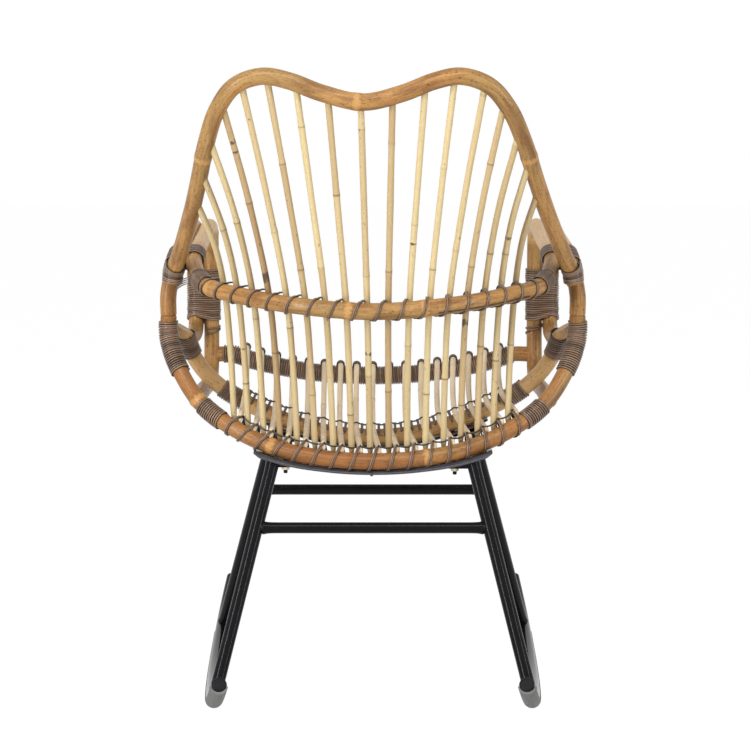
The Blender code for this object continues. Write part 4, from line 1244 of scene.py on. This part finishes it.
class CHAIR_OT_wraps(bpy.types.Operator):
    """Wind the close wraps: front rail, posts, arms, the hoop's ends and the ends of the rails"""
    bl_idname = "chair.wraps"
    bl_label = "Close wraps"

    def execute(self, context):
        sizes = context.scene.chair_sizes
        thick = sizes.cane_thickness / 2
        wide = sizes.cane_width / 2
        reach = POLE_RADIUS + thick
        pitch = sizes.cane_width * CLOSE_PITCH
        start = FRONT_RAIL_BARE[0]
        span = FRONT_RAIL.length - sum(FRONT_RAIL_BARE)
        lines = [coil(FRONT_RAIL, start, start + span, round(span / pitch), reach, 120, 0.0003)]
        for i in rod_numbers():
            lines += self.tip_loops(i, thick)
        bind("cane_front_wrap", lines, thick, wide, "front_rail_wrap")
        for name, side in SIDES:
            self.arm_wraps(name, side, thick, wide, reach, pitch)
        self.end_wraps(thick, wide, reach, pitch)
        return {"FINISHED"}

    @staticmethod
    def tip_loops(i, thick):
        """Two strands that hold a slat's front end down on the rail."""
        path = slat_path(i)
        lines = []
        for back in TIP_LOOPS:
            s = path.length - back
            along = path.tangent(s)
            rail_s = FRONT_RAIL.centre + i * SLAT_SPACING
            up = path.at(s) - FRONT_RAIL.at(rail_s)
            up = (up - along * up.dot(along)).normalized()
            over = along.cross(up)
            points = []
            outward = []
            for k in range(TIP_STEPS + 1):
                angle = math.radians(-TIP_GRIP + 2 * TIP_GRIP * k / TIP_STEPS)
                away = up * math.cos(angle) + over * math.sin(angle)
                points.append(path.at(s) + away * (SLAT_RADIUS + thick))
                outward.append(away)
            lines.append(Line(points, 1.0, outward, 0.3, float(i)))
        return lines

    @staticmethod
    def arm_wraps(name, side, thick, wide, reach, pitch):
        """The post's wrap, the arm's binding, and the sling that ties the hoop's end to the arm."""
        belt_front = BELT.mark_where(POST_FRONT_Y, Y, BELT.centre)
        outer_front = OUTER_ARM.mark_where(POST_FRONT_Y, Y)
        marks = [[BELT.mark_where(z, Z, belt_front) for z in POST_WRAP_Z],
                 [OUTER_ARM.mark_where(z, Z, outer_front) for z in POST_WRAP_Z]]
        turns = round((POST_WRAP_Z[0] - POST_WRAP_Z[1]) / pitch)
        lines = [pair_loops(BELT, OUTER_ARM, marks, turns, reach, 130, side)]
        post = BELT if side > 0 else BELT.mirrored()
        for stray in STRAY_TURNS_Z:
            start, end = [post.mark_where(z, Z, belt_front) for z in stray]
            lines.append(coil(post, start, end, 1, reach, 131, first=-math.pi / 2))
        bind("cane_post_wrap_" + name, lines, thick, wide, "post_wrap_" + name)
        marks = [[BELT.mark_where(y, Y, BELT.centre) for y in BINDING_Y],
                 [OUTER_ARM.mark_where(y, Y) for y in BINDING_Y]]
        turns = round((BINDING_Y[0] - BINDING_Y[1]) / pitch)
        lines = [pair_loops(BELT, OUTER_ARM, marks, turns, reach, 140, side)]
        marks = [[HOOP.length - off for off in SLING_ON_HOOP],
                 [OUTER_ARM.mark_where(HOOP_END_Z, Z), OUTER_ARM.mark_where(SLING_END_Y, Y)]]
        lines.append(pair_loops(HOOP, OUTER_ARM, marks, SLING_LOOPS, reach, 145, side))
        if name == "left":
            lines += loose_ends()
        bind("cane_arm_binding_" + name, lines, thick, wide, "arm_binding_" + name)

    @staticmethod
    def end_wraps(thick, wide, reach, pitch):
        """The close wraps on both ends of the belt's back, the rear rail and the mid rail."""
        belt = BELT.mark_where(BELT_WRAP_Y, Y, BELT.centre) - BELT.centre
        rear = REAR_RAIL.mark_where(REAR_WRAP_X, X) - REAR_RAIL.centre
        mid = MID_RAIL.mark_where(MID_WRAP_X, X) - MID_RAIL.centre
        rear_upper = REAR_RAIL.centre - REAR_UPPER
        mid_upper = MID_RAIL.centre - MID_UPPER
        # Piece, rail, start from the rail's middle, length and unevenness of each pair
        groups = (
            ("cane_belt_end_wraps", BELT, belt, 0.036, 0.0003),
            ("cane_rear_lower_wraps", REAR_RAIL, rear, 0.040, 0.0003),
            ("cane_rear_upper_wraps", REAR_RAIL, rear_upper, 0.081, 0.0004),
            ("cane_mid_lower_wraps", MID_RAIL, mid, 0.038, 0.0003),
            ("cane_mid_upper_wraps", MID_RAIL, mid_upper, MID_UPPER - SAW_FALL * SAW_BARE, 0.0003))
        for number, (name, rail, start, span, wander) in enumerate(groups):
            turns = round(span / pitch)
            lines = both_ends(rail, start, start + span, turns, reach, 150 + number * 3, wander)
            bind(name, lines, thick, wide)


# Steel base

# Each band lies this far under the centre line of its rail
BAND_DROP = {"rear": 0.0160, "front": 0.0125}
RAILS = {"rear": REAR_RAIL, "front": MID_RAIL}

# Depths of the legs' feet and heights of the stretchers
FOOT_Y = {"rear": 0.300, "front": -0.215}
STRETCHER_Z = {"rear": 0.268, "front": 0.280}

# The runner rocks on a long arc and curls up at its ends: radii, then for each end the angle at which the
# long arc stops and the angle at its tip, in degrees
ROCKING_RADIUS = 1.600
CURL_RADIUS = 0.230
FRONT_TURN = (10.0, 40.0)
REAR_TURN = (8.0, 36.0)
ROCKING_STEPS = 14
CURL_STEPS = 10

# How far a weld bead runs up a tube and sinks in the other one, and how far it stands out on a leg and on a
# stretcher
BEAD_RUN = 0.0045
BEAD_SINK = 0.0012
LEG_BEAD = 0.0012
STRETCHER_BEAD = 0.0022
TUBE_STEPS = 220


def band_line(label, x):
    """Height at which a band lies under its rail."""
    rail = RAILS[label]
    s = rail.mark_where(x, X)
    along = rail.tangent(s)
    return rail.at(s).z - BAND_DROP[label] * math.hypot(along.x, along.z) / abs(along.x)


REAR_LEG_TOP = band_line("rear", LEG_TOP_X) - BAND_THICKNESS


def base_x(y, z):
    """How far the base stands from the middle; the legs splay and the runners toe in."""
    return LEG_TOP_X + (REAR_LEG_TOP - z) * LEG_SPLAY + (REAR_Y - y) * RUNNER_TOE


def runner_profile():
    """Side view of the runner's centre line, front to rear: a long arc with curled ends."""
    def half(turn, direction):
        turn_end, tip = [math.radians(angle) for angle in turn]
        points = []
        for k in range(1, ROCKING_STEPS + 1):
            angle = turn_end * k / ROCKING_STEPS
            points.append((ROCKING_RADIUS * math.sin(angle), ROCKING_RADIUS * (1 - math.cos(angle))))
        y0, z0 = points[-1]
        for k in range(1, CURL_STEPS + 1):
            angle = turn_end + (tip - turn_end) * k / CURL_STEPS
            y = y0 + CURL_RADIUS * (math.sin(angle) - math.sin(turn_end))
            points.append((y, z0 + CURL_RADIUS * (math.cos(turn_end) - math.cos(angle))))
        return [(CONTACT_Y + direction * y, GLIDE_OUTSIDE + z) for y, z in points]

    return list(reversed(half(FRONT_TURN, -1))) + [(CONTACT_Y, GLIDE_OUTSIDE)] + half(REAR_TURN, 1)


RUNNER = runner_profile()


def runner_path(side):
    return Path([(side * base_x(y, z), y, z) for y, z in RUNNER], 180, 4)


def runner_height(depth):
    """Height of the runner's centre line at a depth."""
    for (y0, z0), (y1, z1) in zip(RUNNER, RUNNER[1:]):
        if y0 <= depth <= y1:
            return z0 + (z1 - z0) * (depth - y0) / (y1 - y0)
    raise ValueError("the runner doesn't reach %.4f" % depth)


def leg_ends(side, label):
    """Foot and top of a leg's centre line."""
    foot_y = FOOT_Y[label]
    foot_z = runner_height(foot_y)
    top_z = band_line(label, LEG_TOP_X) - BAND_THICKNESS
    foot = Vector((side * base_x(foot_y, foot_z), foot_y, foot_z))
    spread = FRONT_LEG_SPREAD if label == "front" else 0.0
    return foot, Vector((side * (base_x(BAND_Y[label], top_z) + spread), BAND_Y[label], top_z))


def weld_line(start, end, radius, weld_start, weld_end, bead):
    """A straight tube that flares into a weld bead where it meets another tube."""
    length = (end - start).length
    points = []
    girth = []
    for k in range(TUBE_STEPS + 1):
        s = length * k / TUBE_STEPS
        near = min(s - weld_start, length - s - weld_end)
        flare = math.exp(-near / BEAD_RUN) if near >= 0 else math.exp(near / BEAD_SINK)
        points.append(start.lerp(end, k / TUBE_STEPS))
        girth.append(radius + bead * flare)
    return Line(points, girth)


class CHAIR_OT_steel_base(bpy.types.Operator):
    """Make the runners, the legs and the stretchers"""
    bl_idname = "chair.steel_base"
    bl_label = "Steel base"

    def execute(self, context):
        for name, side in SIDES:
            runner = runner_path(side)
            lines = [Line(list(runner.points), RUNNER_RADIUS)]
            for label in ("rear", "front"):
                foot, top = leg_ends(side, label)
                lines.append(weld_line(foot, top, LEG_RADIUS, RUNNER_RADIUS, 0.0, LEG_BEAD))
            place(sweep("steel_side_frame_" + name, lines, "black_steel", 32), "black_steel",
                  "side_frame_" + name)
        for label in ("rear", "front"):
            ends = []
            for side in (1, -1):
                foot, top = leg_ends(side, label)
                ends.append(foot.lerp(top, (STRETCHER_Z[label] - foot.z) / (top.z - foot.z)))
            line = weld_line(ends[0], ends[1], STRETCHER_RADIUS, LEG_RADIUS, LEG_RADIUS, STRETCHER_BEAD)
            place(sweep("steel_stretcher_" + label, [line], "black_steel", 28), "black_steel",
                  "stretcher_" + label)
        return {"FINISHED"}


# Half of a band's section: inset from its edge, then depth as a share of the whole
BAND_SECTION = ((0.0040, 0.0), (0.0006, 0.50), (0.0001, 0.58), (0.0, 0.66), (0.0, 0.88), (0.0004, 0.97),
                (0.0012, 1.0))

# A band stops this short of its rail, and bolted pieces reach this far into it
BAND_CLEARANCE = 0.0006
BAND_BITE = 0.0008

# Share of its depth that a band's tapered tip keeps
BAND_TIP = 0.5
BAND_STEPS = 86

# Screw head under the rear band's middle, and how far it stands in from the band's edge
SCREW_X = 0.002
SCREW_RADIUS = 0.0028
SCREW_INSET = 0.0005

# A lug stops this short of the leg's centre line, and its edges are rounded by this much
LUG_SHORT = 0.004
LUG_EDGE = 0.0005

# A nut's corners, its lower face under the band, and how it is turned
NUT_RADIUS = 0.00577
NUT_FOOT = 0.0072
NUT_TURN = 0.4

# A bolt's shank: height from the band's underside, then radius
SHANK = ((0.012, 0.0030), (-0.0115, 0.0030), (-0.0125, 0.0022))


def joined(work, rings):
    """Close the skin between rings of vertices."""
    for a, b in zip(rings, rings[1:]):
        for k in range(len(a)):
            n = (k + 1) % len(a)
            work.faces.new((a[k], a[n], b[n], b[k])).smooth = True


def mesh_piece(name, work, material_name):
    """A piece from a mesh that is still at the drawing origin."""
    bmesh.ops.translate(work, verts=work.verts, vec=SHIFT)
    bmesh.ops.recalc_face_normals(work, faces=work.faces)
    mesh = bpy.data.meshes.new(name)
    work.to_mesh(mesh)
    work.free()
    mesh.materials.append(finish(material_name))
    piece = bpy.data.objects.new(name, mesh)
    bpy.context.scene.collection.objects.link(piece)
    return piece


class CHAIR_OT_bands(bpy.types.Operator):
    """Make the steel bands under the seat, their bolts and the lugs over the nuts"""
    bl_idname = "chair.bands"
    bl_label = "Bands and bolts"

    def execute(self, context):
        shanks = []
        lugs = bmesh.new()
        for label in ("rear", "front"):
            place(self.band(label), "black_steel", label + "_band")
            for name in ("left", "right"):
                node = "base_bolt_%s_%s" % (label, name)
                nut, shank = self.bolt(label, node)
                self.lug(lugs, label, shank.points[0])
                place(nut, "zinc_plate", node)
                shanks.append(shank)
        place(sweep("steel_bolt_shanks", shanks, "black_plug", 16), "black_steel")
        place(mesh_piece("steel_bolt_plates", lugs, "black_steel"), "black_steel")
        return {"FINISHED"}

    @staticmethod
    def band(label):
        """A strap bent to the rail, with tapered ends; the rear one has a screw under its middle."""
        work = bmesh.new()
        rings = []
        half = BAND_WIDTH / 2
        rise = BAND_DROP[label] - POLE_RADIUS - BAND_CLEARANCE
        deep = rise + BAND_THICKNESS
        edge = [(half - inset, rise - share * deep) for inset, share in BAND_SECTION]
        outline = edge + [(-y, z) for y, z in reversed(edge)]
        for k in range(BAND_STEPS + 1):
            x = BAND_HALF_SPAN * (2 * k / BAND_STEPS - 1)
            top = band_line(label, x) + rise
            taper = 1 - (1 - BAND_TIP) * max(0.0, 1 - (BAND_HALF_SPAN - abs(x)) / BAND_TAPER)
            rings.append([work.verts.new((x, BAND_Y[label] + y, top - (rise - z) * taper))
                          for y, z in outline])
        joined(work, rings)
        work.faces.new(rings[0])
        work.faces.new(rings[-1])
        if label == "rear":
            under = band_line(label, SCREW_X) - BAND_THICKNESS
            spot = (SCREW_X, BAND_Y[label] + half - SCREW_INSET, under + BAND_BITE)
            bmesh.ops.create_uvsphere(work, u_segments=20, v_segments=12, radius=SCREW_RADIUS,
                                      matrix=Matrix.Translation(spot))
        # The band's finish is its black paint painted lighter, as a painted reflection of the white floor
        return mesh_piece("steel_%s_band" % label, work, "band_steel")

    @staticmethod
    def lug(work, label, spot):
        """A black lug from the leg's top to past the nut; its underside is level."""
        side = math.copysign(1.0, spot.x)
        inner = spot.x - side * LUG_WIDTH / 2
        outer = side * (LEG_TOP_X - LUG_SHORT)
        under = band_line(label, spot.x) - BAND_THICKNESS - LUG_THICKNESS
        made = bmesh.ops.create_cube(work, size=1.0)["verts"]
        for vert in made:
            x = outer if vert.co.x > 0 else inner
            inside = band_line(label, x) - BAND_THICKNESS + BAND_BITE
            y = spot.y + math.copysign(LUG_WIDTH / 2, vert.co.y)
            vert.co = (x, y, inside if vert.co.z > 0 else under)
        faces = list({face for vert in made for face in vert.link_faces})
        bmesh.ops.recalc_face_normals(work, faces=faces)
        edges = list({edge for vert in made for edge in vert.link_edges})
        bmesh.ops.bevel(work, geom=edges, offset=LUG_EDGE, segments=2, affect="EDGES", profile=0.5)

    @staticmethod
    def bolt(label, node):
        """A nut under its lug, and the line of the bolt's shank."""
        low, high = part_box(node)
        centre = (low + high) / 2 - SHIFT
        under = band_line(label, centre.x) - BAND_THICKNESS
        top = under - LUG_THICKNESS
        bottom = under - NUT_FOOT
        turned = Matrix.Rotation(NUT_TURN, 4, "Z")
        work = bmesh.new()
        bmesh.ops.create_cone(work, cap_ends=True, segments=6, radius1=NUT_RADIUS, radius2=NUT_RADIUS,
                              depth=top - bottom,
                              matrix=Matrix.Translation((centre.x, centre.y, (top + bottom) / 2)) @ turned)
        points = [Vector((centre.x, centre.y, under + height)) for height, _ in SHANK]
        shank = Line(points, [radius for _, radius in SHANK])
        return mesh_piece("zinc_" + node, work, "zinc_plate"), shank


# A plug in a runner's end: distance past the end, then radius
PLUG = ((-0.006, 0.0100), (0.0, 0.0102), (0.0004, 0.0104), (0.0010, 0.0102), (0.0016, 0.0092),
        (0.0018, 0.0070), (0.0019, 0.0020))

# A glide's front end, half the angle that it goes round the runner, in degrees, and its gap to the runner
GLIDE_FRONT_Y = -0.200
GLIDE_GRIP = 78.75
GLIDE_GAP = 0.0002
GLIDE_STEPS = 24

# Share of a glide's wall that its lips keep, and how full the wall is between them and the tread
GLIDE_LIP = 0.15
GLIDE_FULLNESS = 0.7


class CHAIR_OT_glides(bpy.types.Operator):
    """Make the plastic glides and the plugs in the runners' ends"""
    bl_idname = "chair.glides"
    bl_label = "Glides and plugs"

    def execute(self, context):
        plugs = []
        for name, side in SIDES:
            place(self.glide(name, side), "grey_glide", "runner_glide_" + name)
            runner = runner_path(side)
            for end, direction in ((runner.length, 1), (0.0, -1)):
                points = [runner.at(end + direction * away) for away, _ in PLUG]
                plugs.append(Line(points, [radius for _, radius in PLUG]))
        place(sweep("plastic_runner_plugs", plugs, "black_plug", 32), "black_steel")
        return {"FINISHED"}

    @staticmethod
    def glide(name, side):
        """A half-round channel under the runner, from its rear end to behind the front leg."""
        kept = [point for point in RUNNER if point[0] >= GLIDE_FRONT_Y]
        turns = [2 * GLIDE_GRIP * k / GLIDE_STEPS for k in range(GLIDE_STEPS + 1)]
        angles = [math.radians(-GLIDE_GRIP + turn) for turn in turns]
        inside = RUNNER_RADIUS + GLIDE_GAP
        wall = GLIDE_OUTSIDE - inside
        section = []
        for angle in angles:
            share = GLIDE_LIP + (1 - GLIDE_LIP) * math.cos(angle) ** GLIDE_FULLNESS
            section.append((inside + wall * share, angle))
        section += [(inside, angle) for angle in reversed(angles)]
        work = bmesh.new()
        rings = []
        for k, (y, z) in enumerate(kept):
            ahead = kept[min(k + 1, len(kept) - 1)]
            behind = kept[max(k - 1, 0)]
            along = Vector((ahead[0] - behind[0], ahead[1] - behind[1])).normalized()
            ring = []
            for radius, angle in section:
                depth = radius * math.cos(angle)
                x = side * base_x(y, z) + radius * math.sin(angle)
                ring.append(work.verts.new((x, y + along.y * depth, z - along.x * depth)))
            rings.append(ring)
        joined(work, rings)
        for ring in (rings[0], rings[-1]):
            for k in range(len(angles) - 1):
                work.faces.new((ring[k], ring[k + 1], ring[-2 - k], ring[-1 - k]))
        return mesh_piece("plastic_runner_glide_" + name, work, "grey_glide")


# Stage

# Camera: place, tilt downwards in degrees, lens in millimetres, and shift as a share of the picture's width
CAMERA_PLACE = Vector((0.0, 4.400, 0.988))
CAMERA_TILT = 6.8
CAMERA_LENS = 141.6
CAMERA_SHIFT = 2.0 / 750.0

# Lights: place, aim, then width and height
LIGHTS = {
    "top_light": ((0.1, 2.0, 2.6), (0.0, 0.0, 0.5), (2.4, 0.5)),
    "left_light": ((2.0, 2.4, 1.3), (0.0, 0.0, 0.4), (0.4, 2.0)),
    "right_light": ((-2.6, 1.8, 1.3), (0.0, 0.0, 0.4), (0.3, 2.0)),
}

# The floor: its own grey, and the strength and the share of the white that the camera sees on it
FLOOR_GREY = 0.90
FLOOR_WHITE = 1.06
FLOOR_WHITE_SHARE = 0.90


def area_light(name, power):
    place_at, aim, size = LIGHTS[name]
    light = bpy.data.lights.new(name, "AREA")
    light.shape = "RECTANGLE"
    light.size = size[0]
    light.size_y = size[1]
    light.energy = power
    thing = bpy.data.objects.new(name, light)
    thing.location = place_at
    thing.rotation_euler = (Vector(aim) - Vector(place_at)).to_track_quat("-Z", "Y").to_euler()
    bpy.context.scene.collection.objects.link(thing)


def seen_ray(tree):
    """1 for what the camera sees, straight or in a reflection or through glass."""
    path = tree.nodes.new("ShaderNodeLightPath")
    seen = path.outputs["Is Camera Ray"]
    for kind in ("Is Glossy Ray", "Is Transmission Ray"):
        either = tree.nodes.new("ShaderNodeMath")
        either.operation = "MAXIMUM"
        tree.links.new(seen, either.inputs[0])
        tree.links.new(path.outputs[kind], either.inputs[1])
        seen = either.outputs[0]
    return seen


class CHAIR_OT_stage(bpy.types.Operator):
    """Set the white floor, the lights and the camera"""
    bl_idname = "chair.stage"
    bl_label = "Stage"

    def execute(self, context):
        stage = context.scene.chair_stage
        self.world(stage.fill)
        self.floor()
        area_light("top_light", stage.key)
        area_light("left_light", stage.side)
        area_light("right_light", stage.side / 2)
        camera = bpy.data.cameras.new("photo_camera")
        camera.lens = CAMERA_LENS
        camera.sensor_width = 36.0
        camera.shift_x = CAMERA_SHIFT
        thing = bpy.data.objects.new("photo_camera", camera)
        thing.location = CAMERA_PLACE + SHIFT
        thing.rotation_euler = (math.radians(90.0 - CAMERA_TILT), 0.0, math.pi)
        context.scene.collection.objects.link(thing)
        context.scene.camera = thing
        context.scene.view_settings.view_transform = "Standard"
        return {"FINISHED"}

    @staticmethod
    def world(fill):
        """White to the camera and in reflections, a plain even light otherwise."""
        world = bpy.data.worlds.new("white_room")
        world.use_nodes = True
        tree = world.node_tree
        back = tree.nodes["Background"]
        back.inputs["Color"].default_value = (1.0, 1.0, 1.0, 1.0)
        seen = tree.nodes.new("ShaderNodeMapRange")
        seen.inputs["To Min"].default_value = fill
        seen.inputs["To Max"].default_value = 1.0
        tree.links.new(seen_ray(tree), seen.inputs["Value"])
        tree.links.new(seen.outputs["Result"], back.inputs["Strength"])
        bpy.context.scene.world = world

    @staticmethod
    def floor():
        """A white floor that keeps a faint shadow of the chair."""
        mesh = bpy.data.meshes.new("white_floor")
        half = 12.0
        under = -0.0005
        corners = [(-half, -half, under), (half, -half, under), (half, half, under), (-half, half, under)]
        mesh.from_pydata(corners, [], [(0, 1, 2, 3)])
        thing = bpy.data.objects.new("white_floor", mesh)
        bpy.context.scene.collection.objects.link(thing)
        material = bpy.data.materials.new("white_floor")
        material.use_nodes = True
        tree = material.node_tree
        shader = tree.nodes["Principled BSDF"]
        shader.inputs["Base Color"].default_value = (FLOOR_GREY, FLOOR_GREY, FLOOR_GREY, 1.0)
        shader.inputs["Roughness"].default_value = 0.9
        glow = tree.nodes.new("ShaderNodeEmission")
        glow.inputs["Strength"].default_value = FLOOR_WHITE
        share = tree.nodes.new("ShaderNodeMath")
        share.operation = "MULTIPLY"
        share.inputs[1].default_value = FLOOR_WHITE_SHARE
        tree.links.new(seen_ray(tree), share.inputs[0])
        mixed = tree.nodes.new("ShaderNodeMixShader")
        tree.links.new(share.outputs[0], mixed.inputs["Fac"])
        tree.links.new(shader.outputs["BSDF"], mixed.inputs[1])
        tree.links.new(glow.outputs["Emission"], mixed.inputs[2])
        tree.links.new(mixed.outputs["Shader"], tree.nodes["Material Output"].inputs["Surface"])
        mesh.materials.append(material)


OPERATORS = (CHAIR_OT_bent_poles, CHAIR_OT_back_rods, CHAIR_OT_seat_rods, CHAIR_OT_lashings,
             CHAIR_OT_wraps, CHAIR_OT_steel_base, CHAIR_OT_bands, CHAIR_OT_glides, CHAIR_OT_stage)


class CHAIR_PT_panel(bpy.types.Panel):
    bl_idname = "CHAIR_PT_panel"
    bl_label = "Rattan rocking chair"
    bl_space_type = "VIEW_3D"
    bl_region_type = "UI"
    bl_category = "Chair"

    def draw(self, context):
        scene = context.scene
        for group in (scene.chair_sizes, scene.chair_colours, scene.chair_stage):
            box = self.layout.box()
            for key in group.bl_rna.properties.keys():
                if key not in ("rna_type", "name"):
                    box.prop(group, key)
        for operator in OPERATORS:
            self.layout.operator(operator.bl_idname)


CLASSES = (ChairSizes, ChairColours, StageSettings) + OPERATORS + (CHAIR_PT_panel,)


def register():
    for item in CLASSES:
        bpy.utils.register_class(item)
    bpy.types.Scene.chair_sizes = bpy.props.PointerProperty(type=ChairSizes)
    bpy.types.Scene.chair_colours = bpy.props.PointerProperty(type=ChairColours)
    bpy.types.Scene.chair_stage = bpy.props.PointerProperty(type=StageSettings)


def unregister():
    del bpy.types.Scene.chair_stage
    del bpy.types.Scene.chair_colours
    del bpy.types.Scene.chair_sizes
    for item in reversed(CLASSES):
        bpy.utils.unregister_class(item)


def main():
    register()
    for step in (bpy.ops.chair.bent_poles, bpy.ops.chair.back_rods, bpy.ops.chair.seat_rods,
                 bpy.ops.chair.lashings, bpy.ops.chair.wraps, bpy.ops.chair.steel_base,
                 bpy.ops.chair.bands, bpy.ops.chair.glides, bpy.ops.chair.stage):
        step()


if __name__ == "__main__":
    main()
